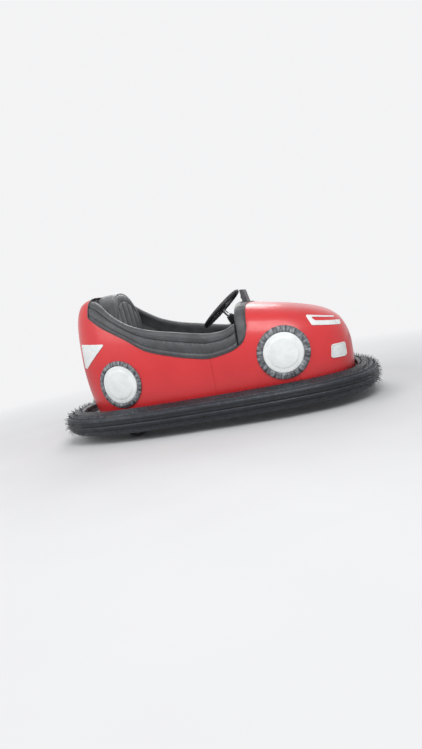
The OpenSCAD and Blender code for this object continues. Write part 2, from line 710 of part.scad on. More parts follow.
module steering_gearbox() {
    color([0.5, 0.51, 0.53]) difference() {
        union() {
            translate([swivel_x, 0, bridge_top]) cylinder(r = box_r, h = box_r, $fn = 64);
            translate([swivel_x, 0, gear_z]) sphere(r = box_r, $fn = 64);
            on_column() translate([0, 0, -column_len]) cylinder(r = socket_r, h = boss_len, $fn = 64);
        }
        translate([swivel_x, 0, bridge_top - 1])
            cylinder(r = spindle_r + run_gap, h = box_r - 13, $fn = fine);
        on_column() translate([0, 0, -column_len + 28])
            cylinder(r = shaft_r + run_gap, h = boss_len, $fn = fine);
    }
}

module column_jacket() {
    color([0.12, 0.12, 0.13]) on_column() difference() {
        translate([0, 0, -column_len + boss_len])
            cylinder(r = jacket_r, h = column_len - boss_len - jacket_top, $fn = 64);
        translate([0, 0, -column_len + boss_len - 1])
            cylinder(r = shaft_r + run_gap, h = column_len, $fn = fine);
    }
}

module column_bracket() {
    back = panel_x + panel_t;
    mid = steer_z - (back + 4 - steer_x) / tan(column_tilt);
    color([0.16, 0.17, 0.18]) difference() {
        bar([back, -40, mid - 68], [back + 8, 40, mid + 68]);
        on_column() translate([0, 0, -column_len])
            cylinder(r = jacket_r + seat_gap, h = column_len, $fn = fine);
    }
}

module steering_shaft() {
    color([0.6, 0.61, 0.63]) on_column() translate([0, 0, -column_len + 30])
        cylinder(r = shaft_r, h = column_len - 30 - hub_under, $fn = fine);
}

// Three flat spokes, wide at the hub and slotted
module steering_wheel() {
    hub_r = 34;
    spoke_t = 7;
    slot = [hub_r + 24, steer_r - grip_r - 18];
    color([0.08, 0.08, 0.085]) on_column() {
        rotate_extrude($fn = 96) translate([steer_r, 0]) circle(r = grip_r, $fn = 32);
        translate([0, 0, -hub_under]) cylinder(r = hub_r, h = hub_under + 4, $fn = 64);
        for (turn = [60, 180, 300]) rotate([0, 0, turn]) translate([0, 0, -1 - spoke_t])
            linear_extrude(spoke_t) difference() {
                polygon([[hub_r - 10, -27], [hub_r + 20, -17], [steer_r, -13], [steer_r, 13],
                    [hub_r + 20, 17], [hub_r - 10, 27]]);
                polygon(rounded([[slot[0], -5], [slot[1], -5], [slot[1], 5], [slot[0], 5]], 4.9));
            }
    }
}

module steering_boss() {
    color([0.14, 0.14, 0.15]) on_column() translate([0, 0, 4]) {
        cylinder(r1 = 36, r2 = 28, h = 12, $fn = 64);
    }
}

module drive_fork() {
    color([0.16, 0.17, 0.18]) translate([swivel_x, 0, 0]) {
        translate([0, 0, crown_z]) cylinder(r = crown_r, h = crown_t, $fn = 96);
        translate([0, 0, crown_z + crown_t])
            cylinder(r = spindle_r, h = gear_z - crown_z - crown_t - 15, $fn = fine);
        for (s = [-1, 1]) translate([0, s * (fork_y + fork_t / 2), 0]) rotate([90, 0, 0])
            translate([0, 0, -fork_t / 2]) linear_extrude(fork_t) difference() {
                polygon([[-60, crown_z], [60, crown_z], [32, drive_r - 8], [18, drive_r - 30],
                    [-18, drive_r - 30], [-32, drive_r - 8]]);
                translate([0, drive_r]) circle(r = axle_r + run_gap, $fn = fine);
            }
    }
}

module drive_motor() {
    start = fork_y + fork_t + gear_w;
    color([0.25, 0.26, 0.28]) translate([swivel_x, 0, drive_r + 30]) rotate([-90, 0, 0]) {
        translate([0, 0, start]) cylinder(r = motor_r - 6, h = motor_end - start, $fn = 64);
        for (k = [0 : 4]) translate([0, 0, start + 6 + k * 9]) cylinder(r = motor_r, h = 4, $fn = 64);
        translate([0, 0, motor_end - 18]) cylinder(r = motor_r - 2, h = 12, $fn = 64);
        translate([-21, -motor_r - 14, start + 3]) cube([42, 24, 44]);
    }
}

module gear_case() {
    start = fork_y + fork_t + seat_gap;
    color([0.5, 0.51, 0.53]) translate([swivel_x, start, 0]) rotate([-90, 0, 0])
        linear_extrude(gear_w - seat_gap) polygon(rounded(
            [[-50, -drive_r - 80], [50, -drive_r - 80], [50, -drive_r + 20], [20, -drive_r + 42],
            [-20, -drive_r + 42], [-50, -drive_r + 20]], 12));
}

module tyre(r, w, bore) {
    rotate([90, 0, 0]) rotate_extrude($fn = 72) polygon(rounded(
        [[bore, -w / 2], [r, -w / 2], [r, w / 2], [bore, w / 2]], min(7, w / 6), 4));
}

// Hub with a web between its boss and its rim, lightened by six round holes
module hub(r, w, bore) {
    boss = 24;
    rim = r - 12;
    rotate([90, 0, 0]) difference() {
        rotate_extrude($fn = 72) polygon([[bore, -w / 2], [boss, -w / 2], [boss, -6], [rim, -6],
            [rim, -w / 2 + 4], [r, -w / 2 + 4], [r, w / 2 - 4], [rim, w / 2 - 4], [rim, 6],
            [boss, 6], [boss, w / 2], [bore, w / 2]]);
        for (k = [0 : 5]) rotate([0, 0, 60 * k + 30]) translate([(boss + rim) / 2, 0, -7])
            cylinder(r = (rim - boss) * 0.3, h = 14, $fn = 32);
    }
}

module drive_tyre() {
    color([0.08, 0.08, 0.085]) translate([swivel_x, 0, drive_r]) tyre(drive_r, drive_w, drive_r - 26);
}

module drive_hub() {
    color([0.5, 0.51, 0.53]) translate([swivel_x, 0, drive_r]) {
        hub(drive_r - 26 - seat_gap, drive_w, axle_r);
        rotate([90, 0, 0]) cylinder(r = axle_r, h = 2 * (fork_y + fork_t) - 2, center = true, $fn = fine);
    }
}

module rear_bracket() {
    color([0.16, 0.17, 0.18]) translate([rear_x, 0, 0]) {
        for (y = [rail_y + tube / 2 - ear_t, rail_y + tube / 2 + rear_w + 2 * play])
            translate([0, y + ear_t, 0]) rotate([90, 0, 0]) linear_extrude(ear_t) difference() {
                polygon([[-50, frame_z], [50, frame_z], [50, frame_z - 5], [22, rear_r - 14],
                    [10, rear_r - 24], [-10, rear_r - 24], [-22, rear_r - 14], [-50, frame_z - 5]]);
                translate([0, rear_r]) circle(r = axle_r, $fn = fine);
            }
        translate([0, rear_y, rear_r]) rotate([90, 0, 0])
            cylinder(r = axle_r, h = rear_w + 2 * play + 2 * ear_t - 2, center = true, $fn = fine);
    }
}

module rear_bracket_left() {
    rear_bracket();
}

module rear_bracket_right() {
    mirror([0, 1, 0]) rear_bracket();
}

module rear_tyre_left() {
    color([0.08, 0.08, 0.085]) translate([rear_x, rear_y, rear_r]) tyre(rear_r, rear_w, rear_r - 20);
}

module rear_tyre_right() {
    color([0.08, 0.08, 0.085]) translate([rear_x, -rear_y, rear_r]) tyre(rear_r, rear_w, rear_r - 20);
}

module rear_hub_left() {
    color([0.5, 0.51, 0.53]) translate([rear_x, rear_y, rear_r])
        hub(rear_r - 20 - seat_gap, rear_w, axle_r + run_gap);
}

module rear_hub_right() {
    color([0.5, 0.51, 0.53]) translate([rear_x, -rear_y, rear_r])
        hub(rear_r - 20 - seat_gap, rear_w, axle_r + run_gap);
}

function skin_pt(x, z, out, side) = [x, side * (skin_y(x, z) + out), z];

// A raised patch on the body's side, over the quads of a grid where keep is true
module patch(grid, keep, side) {
    outer = [for (row = grid) [for (p = row) skin_pt(p[0], p[1], lamp_out, -1)]];
    inner = [for (row = grid) [for (p = row) skin_pt(p[0], p[1], trim_gap, -1)]];
    mirror([0, side > 0 ? 1 : 0, 0]) sheet(outer, inner, keep);
}

// A closed ring on the body's side: radius and how far out, for each corner of its section
module skin_ring(x, z, section) {
    turns = 36;
    n = len(section);
    polyhedron(points = [for (k = [0 : turns - 1]) for (q = section)
            skin_pt(x + q[0] * cos(360 * k / turns), z + q[0] * sin(360 * k / turns), q[1], -1)],
        faces = [for (k = [0 : turns - 1]) for (j = [0 : n - 1])
            let (a = k * n, b = ((k + 1) % turns) * n, e = (j + 1) % n)
            [a + j, b + j, b + e, a + e]], convexity = 4);
}

// A domed disc on the body's side
module skin_disc(x, z, r, out) {
    turns = 36;
    // Share of the radius, share of the rise
    rings = [[0.33, 0], [0.67, 0], [1, 0], [1, 0.6], [0.93, 0.9], [0.6, 1], [0.25, 1]];
    levels = [for (q = rings) [q[0] * r, trim_gap + q[1] * out]];
    n = len(levels);
    pts = concat([skin_pt(x, z, trim_gap, -1), skin_pt(x, z, trim_gap + out, -1)],
        [for (k = [0 : turns - 1]) for (q = levels)
            skin_pt(x + q[0] * cos(360 * k / turns), z + q[0] * sin(360 * k / turns), q[1], -1)]);
    polyhedron(points = pts, faces = [for (k = [0 : turns - 1])
        let (a = 2 + k * n, b = 2 + ((k + 1) % turns) * n) each concat(
            [[0, a, b], [1, b + n - 1, a + n - 1]],
            [for (j = [0 : n - 2]) [a + j, a + j + 1, b + j + 1, b + j]])], convexity = 4);
}

module wheel_rings() {
    color([0.2, 0.21, 0.22]) for (c = covers) for (s = [0, 1]) mirror([0, s, 0])
        skin_ring(c[0], c[1], [[disc_r + 1, trim_gap], [disc_r + 1, cover_out * 0.7],
            [disc_r + 8, cover_out], [c[2] - 9, cover_out], [c[2], cover_out * 0.5],
            [c[2], trim_gap]]);
}

module wheel_discs() {
    color([0.9, 0.91, 0.9]) for (c = covers) for (s = [0, 1]) mirror([0, s, 0])
        skin_disc(c[0], c[1], disc_r, cover_out * 0.75);
}

function between(a, b, u) = a + (b - a) * u;

// Grid of places and heights between four corners, at shares along and up
function corner_grid(c, along, up) = [for (u = along) [for (v = up)
    between(between(c[0], c[3], v), between(c[1], c[2], v), u)]];

function from_nose(c) = [for (p = c) [nose_x - p[0], deck_z + p[1]]];
function from_tail(c) = [for (p = c) [tail_x + p[0], deck_z + p[1]]];

// Two bars and a slanted end, open towards the nose
module head_lamps() {
    grid = corner_grid(from_nose(head_lamp), [0, 0.09, 0.25, 0.4, 0.55, 0.7, 0.8, 0.9, 1],
        [0, 0.2, 0.4, 0.62, 0.84, 1]);
    keep = [for (i = [0 : 7]) [for (j = [0 : 4]) i == 0 || j < 2 || j == 4]];
    color([0.9, 0.91, 0.92]) for (s = [-1, 1]) patch(grid, keep, s);
}

module fog_lamps() {
    grid = corner_grid(from_nose(fog_lamp), [0, 0.2, 0.4, 0.6, 0.8, 1], [0, 0.33, 0.67, 1]);
    color([0.9, 0.91, 0.92]) for (s = [-1, 1]) patch(grid, all_kept(grid), s);
}

module tail_lamps() {
    grid = corner_grid(from_tail(tail_lamp), [for (k = [0 : 10]) k / 10], [for (k = [0 : 5]) k / 5]);
    color([0.9, 0.91, 0.92]) for (s = [-1, 1]) patch(grid, all_kept(grid), s);
}

bumper_tyre();
bumper_rim();
frame_rails();
frame_cross();
frame_outriggers();
floor_plate();
drive_bridge();
race_ring();
body_front();
body_rear();
side_pad_left();
side_pad_right();
dash_pad();
dash_panel();
dash_pod();
tub_left();
tub_right();
drive_cover();
seat_base();
seat_cushion();
seat_back();
battery_blocks();
accelerator_pedal();
steering_gearbox();
column_jacket();
column_bracket();
steering_shaft();
steering_wheel();
steering_boss();
drive_fork();
drive_motor();
gear_case();
drive_tyre();
drive_hub();
rear_bracket_left();
rear_bracket_right();
rear_tyre_left();
rear_tyre_right();
rear_hub_left();
rear_hub_right();
wheel_rings();
wheel_discs();
head_lamps();
fog_lamps();
tail_lamps();
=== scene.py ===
import math

import bpy
import bmesh
import numpy as np
from mathutils import Matrix, Vector
from mathutils.geometry import delaunay_2d_cdt


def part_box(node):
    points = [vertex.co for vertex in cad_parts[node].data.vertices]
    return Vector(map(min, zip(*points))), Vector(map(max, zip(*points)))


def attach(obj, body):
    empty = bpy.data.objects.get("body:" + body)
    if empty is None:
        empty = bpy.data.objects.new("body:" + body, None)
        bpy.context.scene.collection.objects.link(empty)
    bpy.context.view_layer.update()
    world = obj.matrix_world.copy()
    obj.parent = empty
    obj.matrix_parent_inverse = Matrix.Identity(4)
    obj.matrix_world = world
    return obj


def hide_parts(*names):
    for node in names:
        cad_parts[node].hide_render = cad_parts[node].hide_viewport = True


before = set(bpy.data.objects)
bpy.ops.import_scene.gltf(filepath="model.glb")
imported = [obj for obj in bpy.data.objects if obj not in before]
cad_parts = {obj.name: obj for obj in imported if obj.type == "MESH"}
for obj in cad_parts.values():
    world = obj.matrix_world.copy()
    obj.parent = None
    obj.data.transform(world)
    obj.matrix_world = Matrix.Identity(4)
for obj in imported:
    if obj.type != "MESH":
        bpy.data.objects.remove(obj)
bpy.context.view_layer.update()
print("frame loaded")

# Main sizes of the car, in metres, as the solids have them
ringLow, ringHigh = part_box("bumper_tyre")
car = {
    "ringA": ringHigh.x, "ringB": ringHigh.y, "ringZ": ringLow.z,
    "ringTall": ringHigh.z - ringLow.z, "ringDeep": 0.115, "ringSquare": 2.9,
    "nose": 0.85, "tail": -0.818, "half": 0.446, "deck": 0.134,
    "lowX": 0.061, "dashX": 0.288, "arch": 4.5, "frontSquare": 3.3, "rearSquare": 2.8,
    "wall": 0.005, "pad": 0.045, "padGap": 0.003,
}
# how the moulding draws in towards the floor: at the sides, the nose and the tail
tuck = {"side": 0.03, "nose": 0.01, "tail": 0.05, "tall": 0.13, "tailTall": 0.34}

# Side lines of the body: place along the car, height
cutLine = [(-0.655, 0.743), (-0.571, 0.676), (-0.427, 0.584), (-0.303, 0.496), (-0.172, 0.447),
           (-0.056, 0.414), (0.061, 0.393), (0.121, 0.399), (0.182, 0.411), (0.226, 0.429),
           (0.254, 0.449), (0.272, 0.477), (0.285, 0.52)]
padLine = [(-0.653, 0.849), (-0.6, 0.831), (-0.56, 0.8), (-0.492, 0.733), (-0.381, 0.655),
           (-0.25, 0.605), (-0.127, 0.575), (0, 0.545), (0.061, 0.533), (0.13, 0.531),
           (0.24, 0.573), (0.288, 0.633)]
topLine = [(-0.818, 0.464), (-0.812, 0.594), (-0.794, 0.724), (-0.768, 0.794), (-0.73, 0.838),
           (-0.688, 0.853), (-0.64, 0.856), (0.288, 0.652), (0.378, 0.633), (0.533, 0.598),
           (0.695, 0.546), (0.795, 0.48), (0.836, 0.402), (0.85, 0.334)]
cutRear, cutFront = cutLine[0][0], cutLine[-1][0]


def smoothLine(points, x):
    # a curve through the points that never overshoots between them
    px, py = np.array(points, float).T
    rise = np.diff(py) / np.diff(px)
    slope = np.zeros(len(px))
    slope[0], slope[-1] = rise[0], rise[-1]
    for i in range(1, len(px) - 1):
        if rise[i - 1] * rise[i] > 0:
            slope[i] = 2 * rise[i - 1] * rise[i] / (rise[i - 1] + rise[i])
    i = np.clip(np.searchsorted(px, x) - 1, 0, len(px) - 2)
    h = px[i + 1] - px[i]
    u = np.clip((x - px[i]) / h, 0, 1)
    return (py[i] * (1 + 2 * u) * (1 - u) ** 2 + py[i + 1] * (3 - 2 * u) * u * u
            + h * u * (1 - u) * (slope[i] * (1 - u) - slope[i + 1] * u))


def topZ(x):
    return smoothLine(topLine, np.clip(x, car["tail"], car["nose"]))


def halfWide(x):
    front = x > car["lowX"]
    square = np.where(front, car["frontSquare"], car["rearSquare"])
    reach = np.where(front, car["nose"] - car["lowX"], car["lowX"] - car["tail"])
    along = np.clip(np.abs(x - car["lowX"]) / reach, 0, 1)
    return car["half"] * (1 - along ** square) ** (1 / square)


def nearFloor(z, tall):
    # 1 at the floor, 0 from a height on
    return (1 - np.clip((z - car["deck"]) / tall, 0, 1)) ** 2


def tuckIn(z):
    return 1 - tuck["side"] * nearFloor(z, tuck["tall"])


def tuckAlong(x, z):
    front = np.clip((x - car["lowX"]) / (car["nose"] - car["lowX"]), 0, 1) ** 3
    rear = np.clip((car["lowX"] - x) / (car["lowX"] - car["tail"]), 0, 1) ** 3
    return np.where(x > car["lowX"], -tuck["nose"] * front * nearFloor(z, tuck["tall"]),
                    tuck["tail"] * rear * nearFloor(z, tuck["tailTall"]))


def bodyPoint(x, turn):
    # turn in degrees round the arched section: 0 low right, 90 top, 180 low left
    x, turn = np.broadcast_arrays(np.asarray(x, float), np.asarray(turn, float))
    c, s = np.cos(np.radians(turn)), np.sin(np.radians(turn))
    power = 2 / car["arch"]
    z = car["deck"] + (topZ(x) - car["deck"]) * np.abs(s) ** power
    y = -np.sign(c) * halfWide(x) * np.abs(c) ** power * tuckIn(z)
    return np.stack([x + tuckAlong(x, z), y, z], -1)


def bodyOut(x, turn):
    turn = np.clip(turn, 1, 179)
    x, turn = np.broadcast_arrays(np.asarray(x, float), np.asarray(turn, float))
    n = np.cross(bodyPoint(x + 0.002, turn) - bodyPoint(x - 0.002, turn),
                 bodyPoint(x, turn + 1) - bodyPoint(x, turn - 1))
    return n / np.linalg.norm(n, axis=-1, keepdims=True)


def heightShare(x, z):
    return np.clip((z - car["deck"]) / (topZ(x) - car["deck"]), 0, 1)


def turnAt(x, z):
    return np.degrees(np.arcsin(heightShare(x, z) ** (car["arch"] / 2)))


def skinY(x, z):
    x = x - tuckAlong(x, z)
    share = heightShare(x, z)
    return halfWide(x) * (1 - share ** car["arch"]) ** (1 / car["arch"]) * tuckIn(z)


def deselect():
    bpy.ops.object.select_all(action="DESELECT")


def inScene(name, data):
    piece = bpy.data.objects.new(name, data)
    bpy.context.scene.collection.objects.link(piece)
    return piece


def makeMesh(name, points, faces):
    mesh = bpy.data.meshes.new(name)
    mesh.from_pydata(np.array(points, float).reshape(-1, 3).tolist(), [],
                     [tuple(int(k) for k in f) for f in faces])
    mesh.validate()
    return inScene(name, mesh)


def pick(piece):
    deselect()
    piece.select_set(True)
    bpy.context.view_layer.objects.active = piece
    return piece


def smooth(piece, degrees=35):
    pick(piece)
    bpy.ops.object.shade_smooth_by_angle(angle=math.radians(degrees))
    return piece


def modify(piece, kind, **values):
    pick(piece)
    modifier = piece.modifiers.new(kind.title(), kind)
    for key, value in values.items():
        setattr(modifier, key, value)
    bpy.ops.object.modifier_apply(modifier=modifier.name)
    return piece


def roundEdges(piece, width, segments=2, over=50):
    # edges sharper than an angle in degrees
    return modify(piece, "BEVEL", width=width, segments=segments, limit_method="ANGLE",
                  angle_limit=math.radians(over), use_clamp_overlap=True)


def reshaped(piece, change):
    b = bmesh.new()
    b.from_mesh(piece.data)
    change(b)
    b.to_mesh(piece.data)
    b.free()
    return piece


def mergeAndTurnOut(piece, distance=0.00002):
    def change(b):
        bmesh.ops.remove_doubles(b, verts=b.verts, dist=distance)
        bmesh.ops.recalc_face_normals(b, faces=b.faces)

    return reshaped(piece, change)


def vectorsOf(mesh, kind):
    values = np.zeros(len(mesh.vertices) * 3)
    mesh.vertices.foreach_get(kind, values)
    return values.reshape(-1, 3)


def meshPoints(mesh):
    return vectorsOf(mesh, "co")


def meshNormals(mesh):
    return vectorsOf(mesh, "normal")


def setPoints(mesh, points):
    mesh.vertices.foreach_set("co", points.astype(np.float32).ravel())
    mesh.update()


def setValues(piece, name, values, kind="FLOAT", key="value"):
    # an attribute of the mesh's points, for the materials
    piece.data.attributes.new(name, kind, "POINT").data.foreach_set(key, values)


def setOn(piece, material, *replaced, body="chassis"):
    piece.data.materials.clear()
    piece.data.materials.append(material)
    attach(piece, body)
    if replaced:
        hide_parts(*replaced)
    return piece


def mirrored(piece, name):
    other = inScene(name, piece.data.copy())
    other.data.transform(Matrix.Scale(-1, 4, (0, 1, 0)))
    other.data.flip_normals()
    return other


def joined(pieces, name):
    pick(pieces[0])
    for piece in pieces:
        piece.select_set(True)
    bpy.ops.object.join()
    pieces[0].name = name
    return pieces[0]


def moved(piece, place):
    piece.data.transform(Matrix(place))
    return piece


def gridFaces(rows, cols, wrapRows=False, wrapCols=False, start=0):
    faces = []
    for i in range(rows if wrapRows else rows - 1):
        for j in range(cols if wrapCols else cols - 1):
            a, b = i * cols, ((i + 1) % rows) * cols
            e = (j + 1) % cols
            faces.append((start + a + j, start + b + j, start + b + e, start + a + e))
    return faces


def loft(name, loops, closed=False, merge=0.000001):
    # a skin over closed loops of points, capped at both ends or closed to a ring
    loops = np.array(loops)
    m, n = loops.shape[:2]
    faces = gridFaces(m, n, closed, True)
    if not closed:
        faces += [tuple(range(n)), tuple(range(m * n - 1, (m - 1) * n - 1, -1))]
    piece = makeMesh(name, loops, faces)
    return mergeAndTurnOut(piece, merge) if merge else piece


def fullTurn(count):
    return 2 * math.pi * np.arange(count) / count


def alongLine(points):
    # how far each point lies along its line
    steps = np.linalg.norm(np.diff(points, axis=0), axis=1)
    return np.concatenate([[0], np.cumsum(steps)])


def roundedOutline(corners, radius, steps=6):
    # corners of a polygon, rounded by arcs
    corners = [np.array(p, float) for p in corners]
    out = []
    for i, p in enumerate(corners):
        a = corners[i - 1] - p
        b = corners[(i + 1) % len(corners)] - p
        a, b = a / np.linalg.norm(a), b / np.linalg.norm(b)
        half = math.acos(float(np.clip(a @ b, -1, 1))) / 2
        r = radius[i] if isinstance(radius, (list, tuple)) else radius
        middle = p + (a + b) / np.linalg.norm(a + b) * r / math.sin(half)
        d = r / math.tan(half)
        fromAngle = math.atan2(*(p + a * d - middle)[::-1])
        turn = math.atan2(*(p + b * d - middle)[::-1]) - fromAngle
        turn = (turn + math.pi) % (2 * math.pi) - math.pi
        for k in range(steps + 1):
            angle = fromAngle + turn * k / steps
            out.append(middle + r * np.array([math.cos(angle), math.sin(angle)]))
    return out


def roundedBox(halfX, halfY, radius, steps=6, x=0, y=0):
    return roundedOutline([(x - halfX, y - halfY), (x + halfX, y - halfY),
                           (x + halfX, y + halfY), (x - halfX, y + halfY)], radius, steps)


def newMaterial(name):
    material = bpy.data.materials.new(name)
    material.use_nodes = True
    tree = material.node_tree
    return material, tree, tree.nodes["Principled BSDF"]


def addNode(tree, kind, **values):
    node = tree.nodes.new(kind)
    for key, value in values.items():
        if hasattr(node, key):
            setattr(node, key, value)
        else:
            node.inputs[key.replace("_", " ")].default_value = value
    return node


def noiseOn(tree, scale, detail=3, stretch=None):
    # noise in object space, in patches of about 1 / scale metres
    source = addNode(tree, "ShaderNodeTexCoord").outputs["Object"]
    if stretch:
        mapping = addNode(tree, "ShaderNodeMapping")
        mapping.inputs["Scale"].default_value = stretch
        tree.links.new(source, mapping.inputs["Vector"])
        source = mapping.outputs["Vector"]
    noise = addNode(tree, "ShaderNodeTexNoise", Scale=scale, Detail=detail, Roughness=0.55)
    tree.links.new(source, noise.inputs["Vector"])
    return noise.outputs["Fac"]


def cellsOn(tree, scale, feature):
    cells = addNode(tree, "ShaderNodeTexVoronoi", Scale=scale, feature=feature)
    place = addNode(tree, "ShaderNodeTexCoord")
    tree.links.new(place.outputs["Object"], cells.inputs["Vector"])
    return cells.outputs["Distance"]


def spread(tree, value, low, high, fromLow=0.3, fromHigh=0.7):
    node = addNode(tree, "ShaderNodeMapRange", clamp=True)
    for name, number in (("From Min", fromLow), ("From Max", fromHigh), ("To Min", low),
                         ("To Max", high)):
        node.inputs[name].default_value = number
    tree.links.new(value, node.inputs["Value"])
    return node.outputs["Result"]


def blendColors(tree, amount, first, second):
    node = addNode(tree, "ShaderNodeMix", data_type="RGBA")
    for socket, colour in (("A", first), ("B", second)):
        target = [s for s in node.inputs if s.name == socket and s.type == "RGBA"][0]
        if isinstance(colour, (tuple, list)):
            target.default_value = (*colour, 1)
        else:
            tree.links.new(colour, target)
    tree.links.new(amount, node.inputs["Factor"])
    return [s for s in node.outputs if s.type == "RGBA"][0]


def mathOn(tree, operation, a, b):
    node = addNode(tree, "ShaderNodeMath", operation=operation)
    tree.links.new(a, node.inputs[0])
    tree.links.new(b, node.inputs[1])
    return node.outputs[0]


def multiply(tree, a, b):
    return mathOn(tree, "MULTIPLY", a, b)


def mixedShader(tree, amount, first, second):
    node = addNode(tree, "ShaderNodeMixShader")
    tree.links.new(amount, node.inputs["Fac"])
    tree.links.new(first.outputs[0], node.inputs[1])
    tree.links.new(second.outputs[0], node.inputs[2])
    return node


def upward(tree):
    # 1 on faces that look up, 0 on sides and below
    geometry = addNode(tree, "ShaderNodeNewGeometry")
    split = addNode(tree, "ShaderNodeSeparateXYZ")
    tree.links.new(geometry.outputs["Normal"], split.inputs["Vector"])
    return split.outputs["Z"]


def worn(tree, most, patches, fromLow=0.3, fromHigh=0.7):
    # how far an edge that stands out is rubbed, in patches
    geometry = addNode(tree, "ShaderNodeNewGeometry")
    edge = spread(tree, geometry.outputs["Pointiness"], 0, 1, 0.52, 0.62)
    return multiply(tree, edge, spread(tree, noiseOn(tree, *patches), 0, most, fromLow, fromHigh))


def fromAttribute(tree, name, socket="Fac"):
    node = addNode(tree, "ShaderNodeAttribute")
    node.attribute_name = name
    return node.outputs[socket]


def tint(colour, share):
    return tuple(min(1, c * share) for c in colour)


def patchy(tree, scale, detail, first, second, stretch=None):
    return blendColors(tree, spread(tree, noiseOn(tree, scale, detail, stretch), 0, 1), first, second)


def dress(tree, shader, colour, rough, heights, **values):
    # rough: scale and detail of its noise, least and most, with or without the noise's
    # range and stretch. heights: scale and detail, or a value, and a depth in metres
    tree.links.new(colour, shader.inputs["Base Color"])
    scale, detail, low, high, fromLow, fromHigh, stretch = (*rough, *(0.3, 0.7, None)[len(rough) - 4:])
    tree.links.new(spread(tree, noiseOn(tree, scale, detail, stretch), low, high, fromLow, fromHigh),
                   shader.inputs["Roughness"])
    for key, value in values.items():
        shader.inputs[key.replace("_", " ")].default_value = value
    normal = None
    for *source, depth in heights:
        bump = addNode(tree, "ShaderNodeBump", Strength=1.0, Distance=depth)
        value = source[0] if len(source) == 1 else noiseOn(tree, *source)
        tree.links.new(value, bump.inputs["Height"])
        if normal:
            tree.links.new(normal, bump.inputs["Normal"])
        normal = bump.outputs["Normal"]
    tree.links.new(normal, shader.inputs["Normal"])


def twoTone(name, colour, other, patches, rough, heights, **values):
    material, tree, shader = newMaterial(name)
    dress(tree, shader, patchy(tree, *patches, colour, other), rough, heights, **values)
    return material


def tyreRubber(name, colour, dustAndSkyTint=(0.17, 0.17, 0.18), dusty=0.34, grain=900):
    # attribute "groove" is 1 in the moulded grooves, which it darkens as painted shade
    material, tree, shader = newMaterial(name)
    patches = spread(tree, noiseOn(tree, 7, 5), 0.15, 1, 0.38, 0.66)
    specks = spread(tree, noiseOn(tree, 110, 5), 0.15, 1, 0.42, 0.62)
    top = spread(tree, upward(tree), 0, dusty, 0.1, 0.95)
    # dust on the tops, in the dust colour, which for the ring also holds a blue painted sky reflection
    dusted = blendColors(tree, multiply(tree, multiply(tree, patches, top), specks),
                         patchy(tree, 25, 4, colour, tint(colour, 1.9)), dustAndSkyTint)
    # painted shade: the rubber turns near black in the grooves
    dress(tree, shader, blendColors(tree, fromAttribute(tree, "groove"), dusted, tint(colour, 0.12)),
          (40, 4, 0.24, 0.6), [(12, 3, 0.005), (60, 4, 0.002), (grain, 2, 0.0003)],
          Specular_IOR_Level=0.4)
    return material


def glossMoulding(name, colour, dark, rawFibreAndShade):
    # coloured and shiny outside, attribute "inner" is 1 on the raw fibre inside, which is coloured near
    # black as painted shade where it shows through the gaps
    material, tree, shader = newMaterial(name)
    base = blendColors(tree, fromAttribute(tree, "inner"), patchy(tree, 3, 3, colour, dark),
                       patchy(tree, 90, 5, rawFibreAndShade, tint(rawFibreAndShade, 2.2)))
    dress(tree, shader, base, (10, 5, 0.3, 0.42, 0.4, 0.7), [(260, 2, 0.00004), (7, 2, 0.0004)],
          Specular_IOR_Level=0.4, Coat_Weight=0.2, Coat_Roughness=0.12)
    return material


def grainedMoulding(name, colour, grain=1400):
    material, tree, shader = newMaterial(name)
    base = patchy(tree, 12, 4, colour, tint(colour, 1.6))
    base = blendColors(tree, worn(tree, 0.5, (60, 3)), base, tuple(c * 4 + 0.03 for c in colour))
    dress(tree, shader, base, (30, 4, 0.42, 0.6),
          [(cellsOn(tree, grain / 2, "SMOOTH_F1"), 0.00025), (grain, 2, 0.0001)])
    return material


def mottledMoulding(name, colour, pale):
    # attribute "spoke" makes streaks run out from the middle of each wheel cover
    material, tree, shader = newMaterial(name)
    noise = addNode(tree, "ShaderNodeTexNoise", Scale=1.0, Detail=5.0, Roughness=0.62)
    tree.links.new(fromAttribute(tree, "spoke", "Vector"), noise.inputs["Vector"])
    streaks = spread(tree, noise.outputs["Fac"], 0, 1, 0.4, 0.62)
    tone = multiply(tree, streaks, spread(tree, noiseOn(tree, 45, 4), 0.35, 1, 0.35, 0.6))
    dress(tree, shader, blendColors(tree, tone, colour, pale), (60, 4, 0.4, 0.62),
          [(noise.outputs["Fac"], 0.0004), (700, 2, 0.0001)])
    return material


def upholstery(name, colour, pale):
    # grained vinyl, a little shiny where it is rubbed
    material, tree, shader = newMaterial(name)
    dress(tree, shader, patchy(tree, 9, 5, colour, pale), (16, 5, 0.32, 0.56),
          [(22, 4, 0.0016), (cellsOn(tree, 620, "F1"), 0.00035)], Specular_IOR_Level=0.55)
    return material


def paintedSteel(name, colour):
    material, tree, shader = newMaterial(name)
    base = patchy(tree, 10, 5, colour, tint(colour, 1.7))
    base = blendColors(tree, worn(tree, 0.6, (90, 4), 0.5, 0.66), base, (0.32, 0.3, 0.28))
    dress(tree, shader, base, (35, 4, 0.3, 0.5), [(240, 3, 0.00008)])
    return material


def bareMetal(name, colour, rough, brushed=None, grain=300, depth=0.00015):
    material, tree, shader = newMaterial(name)
    dress(tree, shader, patchy(tree, 18, 5, colour, tint(colour, 0.62)),
          (50, 4, *rough, 0.3, 0.7, brushed), [(grain, 3, brushed, depth)], Metallic=1.0)
    return material


